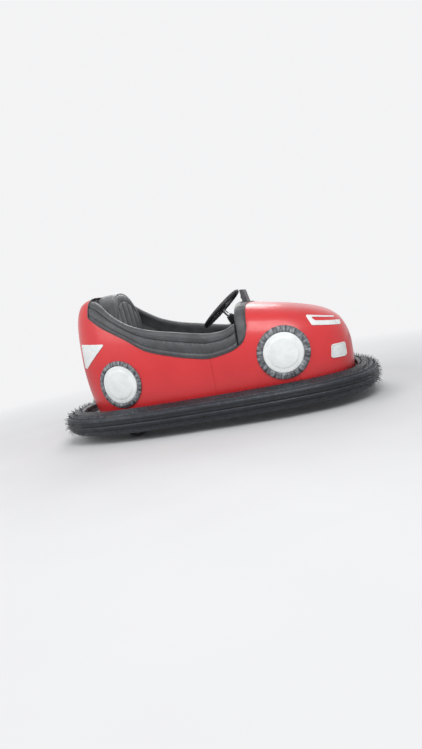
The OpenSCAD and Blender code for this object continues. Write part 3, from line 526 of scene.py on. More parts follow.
# each finish: its slot, and the solids that wear it
finishes = {
    # the ring's rubber and its dust are tinted blue as painted sky reflection
    tyreRubber("ringRubber", (0.01, 0.0125, 0.017), (0.15, 0.175, 0.215)):
        ("bumper_rubber", ["bumper_tyre"]),
    tyreRubber("wheelRubber", (0.018, 0.018, 0.019), dusty=0.2):
        ("wheel_rubber", ["drive_tyre", "rear_tyre_left", "rear_tyre_right"]),
    tyreRubber("gripRubber", (0.018, 0.018, 0.02), dusty=0.1, grain=1600):
        ("grip_rubber", ["steering_wheel"]),
    # the last colour is the raw fibre inside the shell, near black as painted shade
    glossMoulding("redMoulding", (0.67, 0.034, 0.038), (0.58, 0.026, 0.03), (0.02, 0.02, 0.022)):
        ("red_moulding", ["body_front", "body_rear"]),
    upholstery("blackVinyl", (0.028, 0.029, 0.032), (0.07, 0.072, 0.078)):
        ("black_vinyl", ["side_pad_left", "side_pad_right", "dash_pad", "seat_cushion",
                         "seat_back"]),
    grainedMoulding("blackMoulding", (0.03, 0.031, 0.034)):
        ("black_moulding", ["dash_panel", "dash_pod", "tub_left", "tub_right", "drive_cover",
                            "seat_base", "steering_boss"]),
    grainedMoulding("batteryCase", (0.05, 0.05, 0.056)): ("battery_case", ["battery_blocks"]),
    mottledMoulding("greyMoulding", (0.04, 0.044, 0.05), (0.35, 0.375, 0.395)):
        ("grey_moulding", ["wheel_rings"]),
    twoTone("whiteLens", (0.84, 0.86, 0.85), (0.72, 0.75, 0.74), (16, 4), (30, 4, 0.22, 0.4),
            [(30, 3, 0.0002), (700, 2, 0.00004)], Subsurface_Weight=0.15,
            Subsurface_Radius=(0.01, 0.01, 0.01)):
        ("white_lens", ["wheel_discs", "head_lamps", "fog_lamps", "tail_lamps"]),
    twoTone("darkWindow", (0.008, 0.01, 0.012), tint((0.008, 0.01, 0.012), 1.6), (30, 3),
            (80, 5, 0.04, 0.16), [(500, 2, 0.00002)]):
        ("black_moulding", []),
    twoTone("thread", (0.1, 0.102, 0.108), tint((0.1, 0.102, 0.108), 0.5), (400, 3),
            (300, 3, 0.5, 0.8), [(2500, 2, 0.0002)]):
        ("black_vinyl", []),
    paintedSteel("blackSteel", (0.045, 0.047, 0.052)):
        ("black_steel", ["bumper_rim", "frame_rails", "frame_cross", "frame_outriggers",
                         "drive_bridge", "column_jacket", "column_bracket", "drive_fork",
                         "rear_bracket_left", "rear_bracket_right"]),
    paintedSteel("motorPaint", (0.1, 0.115, 0.13)): ("motor_paint", ["drive_motor"]),
    bareMetal("castMetal", (0.42, 0.42, 0.44), (0.42, 0.62), grain=420, depth=0.0005):
        ("cast_metal", ["race_ring", "steering_gearbox", "gear_case", "drive_hub",
                        "rear_hub_left", "rear_hub_right"]),
    bareMetal("brightSteel", (0.62, 0.63, 0.65), (0.18, 0.32), (1, 1, 30)):
        ("bright_steel", ["steering_shaft"]),
    bareMetal("floorSteel", (0.3, 0.31, 0.32), (0.38, 0.6)):
        ("floor_steel", ["floor_plate", "accelerator_pedal"]),
}
(ringRubber, wheelRubber, gripRubber, redMoulding, blackVinyl, blackMoulding, batteryCase,
 greyMoulding, whiteLens, darkWindow, thread, blackSteel, motorPaint, castMetal, brightSteel,
 floorSteel) = finishes
for material, (slot, names) in finishes.items():
    for name in names:
        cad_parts[name].data.materials.clear()
        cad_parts[name].data.materials.append(material)
print("materials made")


bumper = {
    "turns": 288,
    # share of the thickness outwards, share of the height
    "section": [(0, 0.17), (0, 0.5), (0, 0.93), (0.03, 0.965), (0.07, 0.985), (0.2, 1),
                (0.32, 0.984), (0.335, 0.962), (0.355, 0.962), (0.37, 0.976), (0.49, 0.95),
                (0.505, 0.926), (0.525, 0.924), (0.54, 0.94), (0.64, 0.91), (0.655, 0.886),
                (0.675, 0.884), (0.69, 0.9), (0.775, 0.868), (0.8, 0.874), (0.825, 0.86),
                (0.84, 0.79), (0.86, 0.772), (0.885, 0.79), (0.9, 0.806), (0.955, 0.775),
                (0.99, 0.73), (1, 0.68), (1, 0.62), (0.99, 0.612), (1, 0.604), (1, 0.53),
                (0.985, 0.505), (0.945, 0.475), (0.985, 0.445), (1, 0.42), (0.99, 0.37),
                (0.965, 0.31), (0.945, 0.302), (0.95, 0.285), (0.9, 0.215), (0.83, 0.14),
                (0.74, 0.075), (0.64, 0.02), (0.52, 0), (0.43, 0.03), (0.39, 0.1), (0.38, 0.17)],
    # middles of the grooves in the same shares, and how far their painted shade reaches in metres
    "grooves": [(0.345, 0.955), (0.515, 0.92), (0.665, 0.878), (0.86, 0.765), (1, 0.612),
                (0.94, 0.475), (0.94, 0.296)],
    "dark": 0.0075,
}


def ringPoint(turn, outwards):
    c, s = np.cos(turn), np.sin(turn)
    e, q = 2 / car["ringSquare"], car["ringSquare"] - 1
    x = car["ringA"] * np.sign(c) * np.abs(c) ** e
    y = car["ringB"] * np.sign(s) * np.abs(s) ** e
    n = np.stack([np.sign(c) * (np.abs(x) / car["ringA"]) ** q / car["ringA"],
                  np.sign(s) * (np.abs(y) / car["ringB"]) ** q / car["ringB"]], -1)
    n = n / np.linalg.norm(n, axis=-1, keepdims=True)
    return np.stack([x, y], -1) + n * outwards, n


def cornersCut(points):
    # each corner of a closed line is cut off at a quarter of its sides
    points = np.array(points, float)
    following = np.roll(points, -1, 0)
    return np.stack([0.75 * points + 0.25 * following,
                     0.25 * points + 0.75 * following], 1).reshape(-1, 2)


def ringTurns(count):
    # turns at even steps along the ring's outline
    fine = np.linspace(0, 2 * math.pi, 4001)
    along = alongLine(ringPoint(fine, 0)[0])
    return np.interp(np.linspace(0, along[-1], count, endpoint=False), along, fine)


def makeBumper():
    turns = ringTurns(bumper["turns"])
    size = np.array([car["ringDeep"], car["ringTall"]])
    loops, groove = [], []
    for u, v in cornersCut(bumper["section"]):
        xy = ringPoint(turns, (u - 1) * car["ringDeep"])[0]
        z = np.full(len(turns), car["ringZ"] + v * car["ringTall"])
        loops.append(np.column_stack([xy, z]))
        # painted shade in the grooves, darkest at their middles
        away = np.linalg.norm((np.array(bumper["grooves"]) - (u, v)) * size, axis=1).min()
        groove += [float(np.clip(1.3 * (1 - away / bumper["dark"]), 0, 1))] * len(turns)
    piece = loft("bumperTyre", loops, True, None)
    setValues(piece, "groove", groove)
    return setOn(smooth(mergeAndTurnOut(piece), 50), ringRubber, "bumper_tyre")


makeBumper()

# vent hairs left by the mould, more of them at the ends of the car. missing: the share
# left out along the sides and at the ends. thick: share of the length, share of the radius
hairs = {"spacing": 0.015, "radius": 0.0014, "long": (0.013, 0.032), "seed": 5, "loose": 0.7,
         "places": 4000, "ends": 0.62, "fade": 0.25, "missing": (0.76, 0.12), "lean": 0.18,
         "sideways": 0.35, "bend": 0.5, "hang": 0.25,
         "thick": [(-0.08, 1), (0.45, 0.75), (0.8, 0.5), (1, 0.2)],
         # share of the thickness, share of the height, how far up they point
         "rows": [(0.2, 1, 0.95), (0.6, 0.92, 0.9), (0.82, 0.87, 0.75), (0.97, 0.75, 0.35),
                  (1, 0.58, 0.05), (0.99, 0.38, -0.1), (0.9, 0.22, -0.5)]}


def hairRoots(chance):
    # where a hair stands, the way out of the ring there, how near the end, how far up
    outline = ringTurns(hairs["places"])
    count = int(float(alongLine(ringPoint(outline, 0)[0])[-1]) / hairs["spacing"])
    sides, ends = hairs["missing"]
    for u, v, up in hairs["rows"]:
        for k in range(count):
            share = (k + chance.random() * hairs["loose"]) / count
            place = int(share * len(outline)) % len(outline)
            xy, n = ringPoint(outline[place:place + 1], (u - 1) * car["ringDeep"])
            toEnd = np.clip((abs(xy[0, 0]) - hairs["ends"]) / hairs["fade"], 0, 1)
            if chance.random() >= sides + (ends - sides) * toEnd:
                root = np.array([*xy[0], car["ringZ"] + v * car["ringTall"]])
                yield root, np.array([*n[0], 0.0]), toEnd, up


def makeHairs():
    chance = np.random.default_rng(hairs["seed"])
    points, faces = [], []
    for root, out, toEnd, up in hairRoots(chance):
        side = np.array([-out[1], out[0], 0])
        lift = up + chance.normal(0, hairs["lean"])
        way = out * math.sqrt(max(0.05, 1 - min(0.98, lift * lift))) + np.array([0, 0, lift])
        way = way + side * chance.normal(0, hairs["sideways"])
        way /= np.linalg.norm(way)
        bend = (side * chance.normal(0, hairs["bend"])
                + np.array([0, 0, -hairs["hang"] * abs(chance.normal())]))
        reach = chance.uniform(*hairs["long"]) * (0.7 + 0.3 * toEnd)
        across = np.cross(way, side + 0.01)
        across /= np.linalg.norm(across)
        other = np.cross(way, across)
        start, levels = len(points), len(hairs["thick"])
        last = start + 3 * (levels - 1)
        for share, thick in hairs["thick"]:
            middle = root + way * reach * share + bend * reach * share * share * 0.5
            for a in fullTurn(3):
                points.append(middle + (math.cos(a) * across + math.sin(a) * other)
                              * hairs["radius"] * thick)
        faces += [f[::-1] for f in gridFaces(levels, 3, False, True, start)]
        faces += [(start + 2, start + 1, start), (last, last + 1, last + 2)]
    piece = mergeAndTurnOut(makeMesh("ventHairs", points, faces), 0.000001)
    return setOn(smooth(piece, 70), ringRubber)


makeHairs()
print("bumper ring made")


# rows over the band below the cut-out and over the crown, rows along the open and the
# closed part (front, rear), the gap at the seam, and how high the band ends past the cut-out
shell = {"band": 22, "crown": 26, "open": (64, 84), "closed": (60, 36), "seam": 0.0004,
         "bandFront": (0.745, 0.1, 0.2), "bandRear": 0.85, "edge": 0.0016,
         # rows stand closer between the last two places, beside the dash
         "closer": (0.22, 0.222, 0.2875)}


def bodyRows(bandShare):
    rows = []
    for share in bandShare:
        band = math.degrees(math.asin(share ** (car["arch"] / 2)))
        low = [math.degrees(math.asin((share * k / shell["band"]) ** (car["arch"] / 2)))
               for k in range(shell["band"] + 1)]
        high = [band + (90 - band) * k / shell["crown"] for k in range(1, shell["crown"] + 1)]
        half = low + high
        rows.append(half + [180 - t for t in half[-2::-1]])
    return np.array(rows)


def bodyStations(front):
    # places along the car: those beside the opening, and those of the closed end
    low, seam = car["lowX"], shell["seam"]
    if front:
        half = shell["open"][0] // 2
        before, first, last = shell["closer"]
        opened = np.concatenate([np.linspace(low + seam, before, half),
                                 np.linspace(first, last, half)])
        square, reach, way, start = car["frontSquare"], car["nose"] - low, 1, car["dashX"]
    else:
        opened = np.linspace(low - seam, cutRear + 0.0005, shell["open"][1])
        square, reach, way, start = car["rearSquare"], low - car["tail"], -1, cutRear
    first = math.acos((abs(start - low) / reach) ** (square / 2))
    turns = np.linspace(first, 0, shell["closed"][0 if front else 1])
    return opened, low + way * reach * np.cos(turns) ** (2 / square)


def makeBody(name, front):
    opened, closed = bodyStations(front)
    stations = np.concatenate([opened, closed])
    cut = smoothLine(cutLine, np.clip(stations, cutRear, cutFront))
    share = (cut - car["deck"]) / (topZ(stations) - car["deck"])
    if front:
        least, more, reach = shell["bandFront"]
        ahead = np.clip((stations - car["dashX"]) / reach, 0, 1)
        share = np.where(stations > cutFront, least + more * ahead, share)
    else:
        share = np.where(stations < cutRear, shell["bandRear"], share)
    turns = bodyRows(share)
    rows, cols = turns.shape
    faces = []
    for i in range(rows - 1):
        for j in range(cols - 1):
            isBand = j < shell["band"] or j > cols - 2 - shell["band"]
            if i >= len(opened) or isBand:
                a, b = i * cols + j, (i + 1) * cols + j
                faces.append((a, b, b + 1, a + 1) if front else (a + 1, b + 1, b, a))
    piece = makeMesh(name, bodyPoint(stations[:, None], turns), faces)

    def cleaned(b):
        bmesh.ops.remove_doubles(b, verts=b.verts, dist=0.00005)
        bmesh.ops.delete(b, geom=[v for v in b.verts if not v.link_faces], context="VERTS")

    reshaped(piece, cleaned)
    piece.vertex_groups.new(name="inside")
    modify(piece, "SOLIDIFY", thickness=car["wall"], offset=-1, use_even_offset=True,
           use_quality_normals=True, shell_vertex_group="inside")
    inside = [sum(g.weight for g in v.groups) for v in piece.data.vertices]
    piece.vertex_groups.clear()
    # the inside faces, which the red moulding colours near black as painted shade
    setValues(piece, "inner", inside)
    return smooth(roundEdges(piece, shell["edge"], 3, 60), 50)


setOn(makeBody("bodyFront", True), redMoulding, "body_front")
setOn(makeBody("bodyRear", False), redMoulding, "body_rear")
print("body mouldings made")


covers = [{"x": 0.468, "z": 0.351, "r": 0.148}, {"x": -0.508, "z": 0.324, "r": 0.141}]
coverShape = {
    "disc": 0.113, "gap": 0.0008, "out": 0.014, "turns": 240, "discTurns": 144,
    "notchEvery": 8, "notch": 0.0035, "streaks": 9, "streakRings": 22,
    # the ring beside the disc and beside its edge: metres from there, share of the height
    "ringInner": [(0.001, 0.5), (0.0018, 0.72), (0.004, 0.9), (0.008, 1), (0.013, 1.02)],
    "ringOuter": [(0.014, 1), (0.0085, 0.93), (0.004, 0.78), (0.001, 0.55), (0, 0.35)],
    # the disc: share of its radius, share of its height
    "discHigh": 0.0105,
    "discTop": [(0.1, 1), (0.3, 1), (0.5, 1), (0.68, 0.99), (0.76, 0.97), (0.775, 0.86),
                (0.79, 0.84), (0.9, 0.83), (0.955, 0.8), (0.985, 0.68), (1, 0.5)],
    "discBack": [1, 0.6, 0.2],
}


def onSkin(x, z, out):
    return np.stack([x, -(skinY(x, z) + out), z], -1)


def coverLoop(cover, radius, out, turns):
    angle = fullTurn(turns)
    return onSkin(cover["x"] + radius * np.cos(angle), cover["z"] + radius * np.sin(angle), out)


def makeCoverRing(cover):
    d, r, o, g = coverShape["disc"], cover["r"], coverShape["out"], coverShape["gap"]
    outer = [(r - inwards, o * share) for inwards, share in coverShape["ringOuter"]]
    profile = [(d + 0.001, g)] + [(d + more, o * share) for more, share in coverShape["ringInner"]]
    profile += outer + [(r, g), ((d + r) / 2, g)]
    turns = np.arange(coverShape["turns"])
    notch = coverShape["notch"] * np.isin(turns % coverShape["notchEvery"], (0, 1, 2))
    loops = [coverLoop(cover, radius, np.maximum(g, out - notch * ((radius, out) in outer)), len(turns))
             for radius, out in profile]
    piece = loft("coverRing", loops, True, 0.00002)
    away = meshPoints(piece.data)[:, [0, 2]] - (cover["x"], cover["z"])
    reach = np.linalg.norm(away, axis=1, keepdims=True)
    streak = np.hstack([away / reach * coverShape["streaks"], reach * coverShape["streakRings"]])
    setValues(piece, "spoke", streak.ravel(), "FLOAT_VECTOR", "vector")
    return smooth(piece, 45)


def makeCoverDisc(cover):
    d, g, high, turns = (coverShape[key] for key in ("disc", "gap", "discHigh", "discTurns"))
    profile = [(share, high * part) for share, part in coverShape["discTop"]]
    profile += [(share, g) for share in coverShape["discBack"]]
    points = [coverLoop(cover, share * d, out, turns) for share, out in profile]
    faces = gridFaces(len(profile), turns, False, True)
    middle, last = len(profile) * turns, (len(profile) - 1) * turns
    points += [onSkin(cover["x"], cover["z"], out)[None, :] for out in (high, g)]
    for k in range(turns):
        faces.append((middle, (k + 1) % turns, k))
        faces.append((middle + 1, last + k, last + (k + 1) % turns))
    return smooth(mergeAndTurnOut(makeMesh("coverDisc", np.vstack(points), faces)), 45)


def bothSides(pieces, name):
    pieces = list(pieces)
    return joined(pieces + [mirrored(p, p.name + "Left") for p in pieces], name)


setOn(bothSides(map(makeCoverRing, covers), "wheelCoverRings"), greyMoulding, "wheel_rings")
setOn(bothSides(map(makeCoverDisc, covers), "wheelCoverDiscs"), whiteLens, "wheel_discs")


def insidePolygon(points, outline):
    x, z = points[:, 0], points[:, 1]
    inside = np.zeros(len(points), bool)
    for (ax, az), (bx, bz) in zip(outline, np.roll(outline, -1, 0)):
        crossed = ((az > z) != (bz > z)) & (x < (bx - ax) * (z - az) / (bz - az + 1e-12) + ax)
        inside ^= crossed
    return inside


def withinAll(points, loops):
    # inside the first loop and outside the others, its holes
    inside = insidePolygon(points, loops[0])
    for hole in loops[1:]:
        inside &= ~insidePolygon(points, hole)
    return inside


def awayFrom(points, loops):
    best = np.full(len(points), 1e9)
    for outline in loops:
        for a, b in zip(outline, np.roll(outline, -1, 0)):
            t = np.clip(((points - a) @ (b - a)) / ((b - a) @ (b - a)), 0, 1)
            best = np.minimum(best, np.linalg.norm(points - (a + t[:, None] * (b - a)), axis=1))
    return best


def patchSpots(loops, edge, step):
    # the border in fine steps with its edges, rims beside it and a grid inside
    points, edges, rims = [], [], []
    for loop in loops:
        start = len(points)
        for a, b in zip(loop, np.roll(loop, -1, 0)):
            count = max(1, int(np.linalg.norm(b - a) / step))
            points += [a + (b - a) * k / count for k in range(count)]
        size = len(points) - start
        edges += [(start + k, start + (k + 1) % size) for k in range(size)]
    for ring in (edge * 0.3, edge):
        for loop in loops:
            for a, b in zip(loop, np.roll(loop, -1, 0)):
                d = b - a
                n = np.array([-d[1], d[0]]) / (np.linalg.norm(d) + 1e-9)
                count = max(1, int(np.linalg.norm(d) / step))
                rims += [a + d * (k + 0.5) / count + side * n * ring
                         for k in range(count) for side in (-1, 1)]
    low, high = loops[0].min(0), loops[0].max(0)
    grid = np.meshgrid(np.arange(low[0], high[0], step), np.arange(low[1], high[1], step))
    grid = np.stack(grid, -1).reshape(-1, 2)
    spots = [np.array(points)]
    for some, margin in ((np.array(rims), edge * 0.25), (grid, edge * 1.5)):
        spots.append(some[withinAll(some, loops) & (awayFrom(some, loops) > margin)])
    return np.vstack(spots), edges


def skinPatch(name, outline, out, edge=0.003, step=0.008, holes=(), low=0.0008):
    # a raised patch with rounded edges, which follows the body's side
    loops = [np.array(loop) for loop in (outline, *holes)]
    spots, edges = patchSpots(loops, edge, step)
    flat, _, tris, *_ = delaunay_2d_cdt([Vector(p) for p in spots], edges, [], 0, 1e-6)
    flat = np.array([tuple(p) for p in flat])
    good = withinAll(np.array([flat[list(t)].mean(0) for t in tris]), loops)
    tris = [t for t, g in zip(tris, good) if g]
    share = np.clip(awayFrom(flat, loops) / edge, 0, 1)
    rise = low + (out - low) * (0.45 + 0.55 * np.sqrt(1 - (1 - share) ** 2))
    top = onSkin(flat[:, 0], flat[:, 1], rise)
    bottom = onSkin(flat[:, 0], flat[:, 1], low)
    n = len(flat)
    faces = [tuple(t) for t in tris] + [tuple(n + k for k in reversed(t)) for t in tris]
    used = {pair: True for t in tris for pair in zip(t, (*t[1:], t[0]))}
    faces += [(b, a, n + a, n + b) for a, b in used if (b, a) not in used]
    piece = makeMesh(name, np.vstack([top, bottom]), faces)
    return smooth(mergeAndTurnOut(piece, 0.000001), 40)


def drawnIn(outline, distance):
    # outline moved inwards by a distance, for convex shapes
    outline = np.array(outline)
    d = np.roll(outline, -1, 0) - np.roll(outline, 1, 0)
    n = np.column_stack([-d[:, 1], d[:, 0]]) / np.linalg.norm(d, axis=1, keepdims=True)
    if ((outline.mean(0) - outline) * n).sum() < 0:
        n = -n
    return outline + n * distance


lamps = {
    "out": 0.005, "border": 0.009, "gap": 0.0004, "borderOut": 0.0015,
    # corners: place along the car, height, and the radius of each
    "fog": [(0.716, 0.266), (0.806, 0.258), (0.808, 0.338), (0.728, 0.341)],
    "fogRound": 0.014,
    "head": [(0.642, 0.467), (0.802, 0.436), (0.797, 0.462), (0.663, 0.489), (0.641, 0.513),
             (0.771, 0.483), (0.768, 0.491), (0.614, 0.53)],
    "headRound": [0.006, 0.006, 0.004, 0.006, 0.004, 0.0015, 0.0015, 0.006],
    "tail": [(-0.76, 0.448), (-0.735, 0.44), (-0.56, 0.572), (-0.752, 0.592)],
    "tailRound": [0.008, 0.008, 0.006, 0.012],
}


def makeLamps():
    out, border = lamps["out"], lamps["border"]
    fog = roundedOutline(lamps["fog"], lamps["fogRound"])
    head = roundedOutline(lamps["head"], lamps["headRound"], 4)
    tail = roundedOutline(lamps["tail"], lamps["tailRound"])
    patches = {
        "fogLamps": ("fog_lamps", [
            skinPatch("fogBorder", fog, out + lamps["borderOut"], 0.002, 0.006, [drawnIn(fog, border)]),
            skinPatch("fogLens", drawnIn(fog, border + lamps["gap"]), out, 0.0025, 0.006)]),
        "headLamps": ("head_lamps", [skinPatch("headLamp", head, out, 0.002, 0.006)]),
        "tailLamps": ("tail_lamps", [skinPatch("tailLamp", tail, out)]),
    }
    for name, (node, pieces) in patches.items():
        setOn(bothSides(pieces, name), whiteLens, node)


makeLamps()
print("wheel covers and lamps made")


pads = {
    "steps": 190, "back": -0.652, "front": 0.2262, "bulge": 0.006, "seams": (0, 0.17, 0.6, 1),
    "ends": 0.012, "inset": 0.007, "lift": 0.0004,
    # section: share of the height, share of the depth
    "section": [(0, 0.04), (0.03, 0), (0.17, 0), (0.4, 0), (0.6, 0), (0.8, 0), (0.93, 0.08),
                (0.985, 0.22), (1, 0.4), (1, 0.6), (0.985, 0.78), (0.93, 0.92), (0.8, 1),
                (0.4, 1), (0.03, 1), (0, 0.96)],
}
dash = {"back": 0.2272, "front": 0.284, "steps": 140, "inset": 0.1, "fill": 0.005}


def fineSection(section, count):
    pts = np.array(section + [section[0]], float)
    along = alongLine(pts * [3, 1])
    at = np.linspace(0, along[-1], count, endpoint=False)
    return np.column_stack([np.interp(at, along, pts[:, 0]), np.interp(at, along, pts[:, 1])])


def rolls(q, seams, bulge, cut=0.0022):
    # outward swell between seams, a narrow groove at each seam
    out = np.zeros_like(q)
    for a, b in zip(seams[:-1], seams[1:]):
        u = np.clip((q - a) / (b - a), 0, 1)
        swell = bulge * (np.abs(np.sin(math.pi * u)) ** 0.6) * min(1, ((b - a) / 0.4) ** 0.5)
        out = np.where((q >= a) & (q <= b), swell, out)
    for s in seams[1:-1]:
        out = out - cut * np.exp(-((q - s) / 0.012) ** 2)
    return out


def puckers(x, q, seams):
    # small pulls in the cover at the stitches, and uneven filling between them
    out = np.zeros_like(q)
    for k, seam in enumerate(seams[1:-1]):
        near = np.exp(-((np.abs(q - seam) - 0.05) / 0.045) ** 2)
        pull = math.sin(2 * math.pi * (x / 0.031 + 0.4 * k) + 1.7 * math.sin(x * 23))
        out = out + 0.0009 * near * pull
    fill = math.sin(x * 11 + 1) * 0.6 + math.sin(x * 27 + 2) * 0.4
    return out + 0.0011 * fill * np.sin(math.pi * np.clip(q, 0, 1))


def closing(away):
    # how far a pad has drawn in, from 0 to 1 at its very end
    return 1 - math.sqrt(max(0, 1 - (1 - min(1, away / pads["ends"])) ** 2))


def padLoop(x, turn, swell, depth, share):
    # one section of a pad: swollen outside, its depth drawn in by a share from both sides
    swell = swell * np.clip(1 - depth * 2.2, 0, 1)
    deep = share + depth * (1 - 2 * share)
    return bodyPoint(x, turn) + bodyOut(x, turn) * (swell - car["pad"] * deep)[:, None]


def makeSidePad():
    q, depth = fineSection(pads["section"], 96).T
    back, front, ends = pads["back"], pads["front"], pads["ends"]
    extra = ends * np.array([0.0, 0.15, 0.4, 0.7])
    even = np.linspace(back, front, pads["steps"])
    xs = np.unique(np.concatenate([even, back + extra, front - extra]))
    loops = []
    for x in xs:
        low, high = float(smoothLine(cutLine, x)) + pads["lift"], float(smoothLine(padLine, x))
        close = closing(min(x - back, front - x))
        inset = pads["inset"] * close
        share = inset / (high - low)
        inner = share + q * (1 - 2 * share)
        place = np.full(len(q), x)
        swell = rolls(inner, pads["seams"], pads["bulge"]) + puckers(x, inner, pads["seams"])
        loops.append(padLoop(place, turnAt(place, low + (high - low) * inner), swell * (1 - close),
                             depth, inset / car["pad"]))
    piece = loft("sidePadRight", loops, merge=None)

    def capped(b):
        bmesh.ops.triangulate(b, faces=[f for f in b.faces if len(f.verts) > 4])
        bmesh.ops.recalc_face_normals(b, faces=b.faces)

    return smooth(reshaped(piece, capped), 60)


def makeDashPad():
    q, depth = fineSection(pads["section"], 72).T
    loops = []
    for u in np.linspace(0, 1, dash["steps"]):
        close = closing(min(u, 1 - u) * 1.5)
        share = dash["inset"] * close
        inner = share + q * (1 - 2 * share)
        x = dash["front"] + (dash["back"] - dash["front"]) * inner
        foot = turnAt(x, smoothLine(cutLine, x) + pads["lift"])
        fill = dash["fill"] + 0.0008 * math.sin(u * 41) + 0.0006 * math.sin(u * 97 + 1)
        swell = fill * np.sin(math.pi * np.clip(inner, 0, 1)) * (1 - close)
        loops.append(padLoop(x, foot + (180 - 2 * foot) * u, swell, depth, share))
    return smooth(loft("dashPad", loops), 60)


rightPad = makeSidePad()
leftPad = mirrored(rightPad, "sidePadLeft")
for pad, node in ((rightPad, "side_pad_right"), (leftPad, "side_pad_left"),
                  (makeDashPad(), "dash_pad")):
    setOn(pad, blackVinyl, node)
print("padded edge made")


# rubber trim round the opening
trim = {"radius": 0.0038, "out": 0.0012, "sides": 12, "step": 0.008, "dash": 0.286}


def sweep(name, path, ups, radius, sides, closed=True):
    # a round bead along a path of points, whose ups point away from what carries it
    path, ups = np.array(path), np.array(ups)
    if closed:
        tangent = np.roll(path, -1, 0) - np.roll(path, 1, 0)
    else:
        tangent = np.gradient(path, axis=0)
    tangent /= np.linalg.norm(tangent, axis=1, keepdims=True)
    across = np.cross(tangent, ups)
    across /= np.linalg.norm(across, axis=1, keepdims=True)
    up = np.cross(across, tangent)
    rows = [path + radius * (math.cos(a) * across + math.sin(a) * up) for a in fullTurn(sides)]
    return smooth(loft(name, np.stack(rows, 1), closed), 60)


def evenly(points, step):
    points = np.array(points, float)
    along = alongLine(points)
    at = np.linspace(0, along[-1], max(2, int(along[-1] / step)))
    return np.column_stack([np.interp(at, along, column) for column in points.T])


def openingLine():
    # places and turns round the edge of the opening, right side first
    xs = np.linspace(cutRear + 0.001, trim["dash"] - 0.0005, 400)
    side = [(x, float(turnAt(x, smoothLine(cutLine, x)))) for x in xs]
    first, last = side[0][1], side[-1][1]
    overDash = [(trim["dash"], t) for t in np.linspace(last, 180 - last, 120)[1:-1]]
    tail = [(cutRear + 0.0005, t) for t in np.linspace(180 - first, first, 120)[1:-1]]
    return np.array(side + overDash + [(x, 180 - t) for x, t in side[::-1]] + tail)


def makeTrim():
    x, turn = openingLine().T
    out = bodyOut(x, turn)
    packed = evenly(np.hstack([bodyPoint(x, turn) + trim["out"] * out, out]), trim["step"])
    setOn(sweep("openingTrim", packed[:, :3], packed[:, 3:], trim["radius"], trim["sides"]),
          blackMoulding)


makeTrim()


seat = {"voxel": 0.006, "pressure": 4.0, "frames": 16, "cushionCap": 0.012, "backCap": 0.014,
        "start": 0.004, "seamDeep": 0.005, "seamWide": 0.008, "grooveDeep": 0.0022,
        "grooveWide": 0.0028, "facing": (0.35, 0.3), "low": 0.325, "top": 0.405,
        "front": -0.125, "back": -0.479, "wide": 0.335, "corner": 0.036, "channels": 5,
        "border": 0.05, "clear": 0.004, "clearLow": 0.002, "sewn": 0.005, "turnedAway": 0.3,
        # share of the height, how far the outline draws in
        "rows": [(0, 0.006), (0.06, 0.001), (0.2, 0), (0.7, 0), (0.85, 0.003), (0.95, 0.01), (1, 0.022)]}
backrest = {"x": -0.648, "deep": 0.168, "wide": 0.284, "low": 0.3253, "top": 0.866,
            "middle": float(smoothLine(cutLine, -0.528)), "channels": 5, "border": 0.06,
            "clear": 0.008, "heel": 0.036, "lean": 0.032,
            # share of the depth, how far the outline draws in
            "rows": [(1, 0.026), (0.97, 0.012), (0.9, 0.003), (0.8, 0), (0.2, 0), (0.1, 0.002),
                     (0.03, 0.009), (0, 0.022)]}


def tubSide(x):
    # half the width between the side walls of the cockpit
    return skinY(x, smoothLine(cutLine, x)) - car["pad"] - car["padGap"] - car["wall"]


def bothHalves(half):
    # right half of a closed line of points, followed by its mirror image
    return [(x, y, z) for x, y, z in half] + [(x, -y, z) for x, y, z in half[::-1]]


def cushionSide(x):
    return np.minimum(seat["wide"], tubSide(x) - seat["clear"])


def cushionHalf(d, z):
    corner, start = seat["corner"], seat["front"] - seat["corner"]
    half = [(x, d - float(cushionSide(x)), z) for x in np.linspace(seat["back"] + d, start, 24)]
    side = float(cushionSide(start)) - corner
    for a in np.radians(np.linspace(10, 90, 9)):
        half.append((start + (corner - d) * math.sin(a), -side - (corner - d) * math.cos(a), z))
    return half


def cushionShape():
    low, start = seat["low"] + seat["clearLow"], seat["start"]
    tall = seat["top"] - start - low
    return loft("seatCushion", [bothHalves(cushionHalf(inwards + start, low + tall * share))
                                for share, inwards in seat["rows"]])


def backDepth(z, share):
    # place along the car at a height, from the rear face (0) to the front face (1)
    low, top, deep = backrest["low"], backrest["top"], backrest["deep"]
    rear = smoothLine([(low, backrest["heel"]), (backrest["middle"], 0), (top, 0.002)], z)
    front = smoothLine([(low, deep), (seat["top"], deep), (top, deep - backrest["lean"])], z)
    return float(backrest["x"] + rear + (front - rear) * share)


def archOf(wide, middle, top, angles):
    return [(wide * math.cos(a), middle + (top - middle) * math.sin(a)) for a in np.radians(angles)]


def backOutline(share, inwards):
    side = float(tubSide(backrest["x"] + backrest["deep"] * share)) - backrest["clear"]
    wide = min(backrest["wide"], side) - inwards
    low, middle, top = backrest["low"], backrest["middle"], backrest["top"] - inwards
    half = [(wide, low + inwards / 2 + (middle - low) * k / 10) for k in range(10)]
    half += archOf(wide, middle, top, np.linspace(0, 89, 26))
    return [(backDepth(z, share), -y, z) for y, z in half]


def backShape():
    return loft("seatBack", [bothHalves(backOutline(share, inwards + seat["start"]))
                             for share, inwards in backrest["rows"]])


def seamsFrom(inside, y, wide, channels):
    # distance to the nearest seam: the border, and within it channels side by side
    pitch = 2 * wide / channels
    lines = np.abs((y / pitch + (channels % 2) / 2 + 0.5) % 1 - 0.5) * pitch
    return np.minimum(np.abs(inside), np.where(inside > 0, lines, 1))


def cushionSeams(p):
    x, y = p[:, 0], p[:, 1]
    b = seat["border"]
    toSide = cushionSide(np.clip(x, seat["back"], seat["front"])) - b - np.abs(y)
    inside = np.minimum(np.minimum(seat["front"] - b - x, x - seat["back"] - b * 0.6), toSide)
    return seamsFrom(inside, y, seat["wide"] - b, seat["channels"])


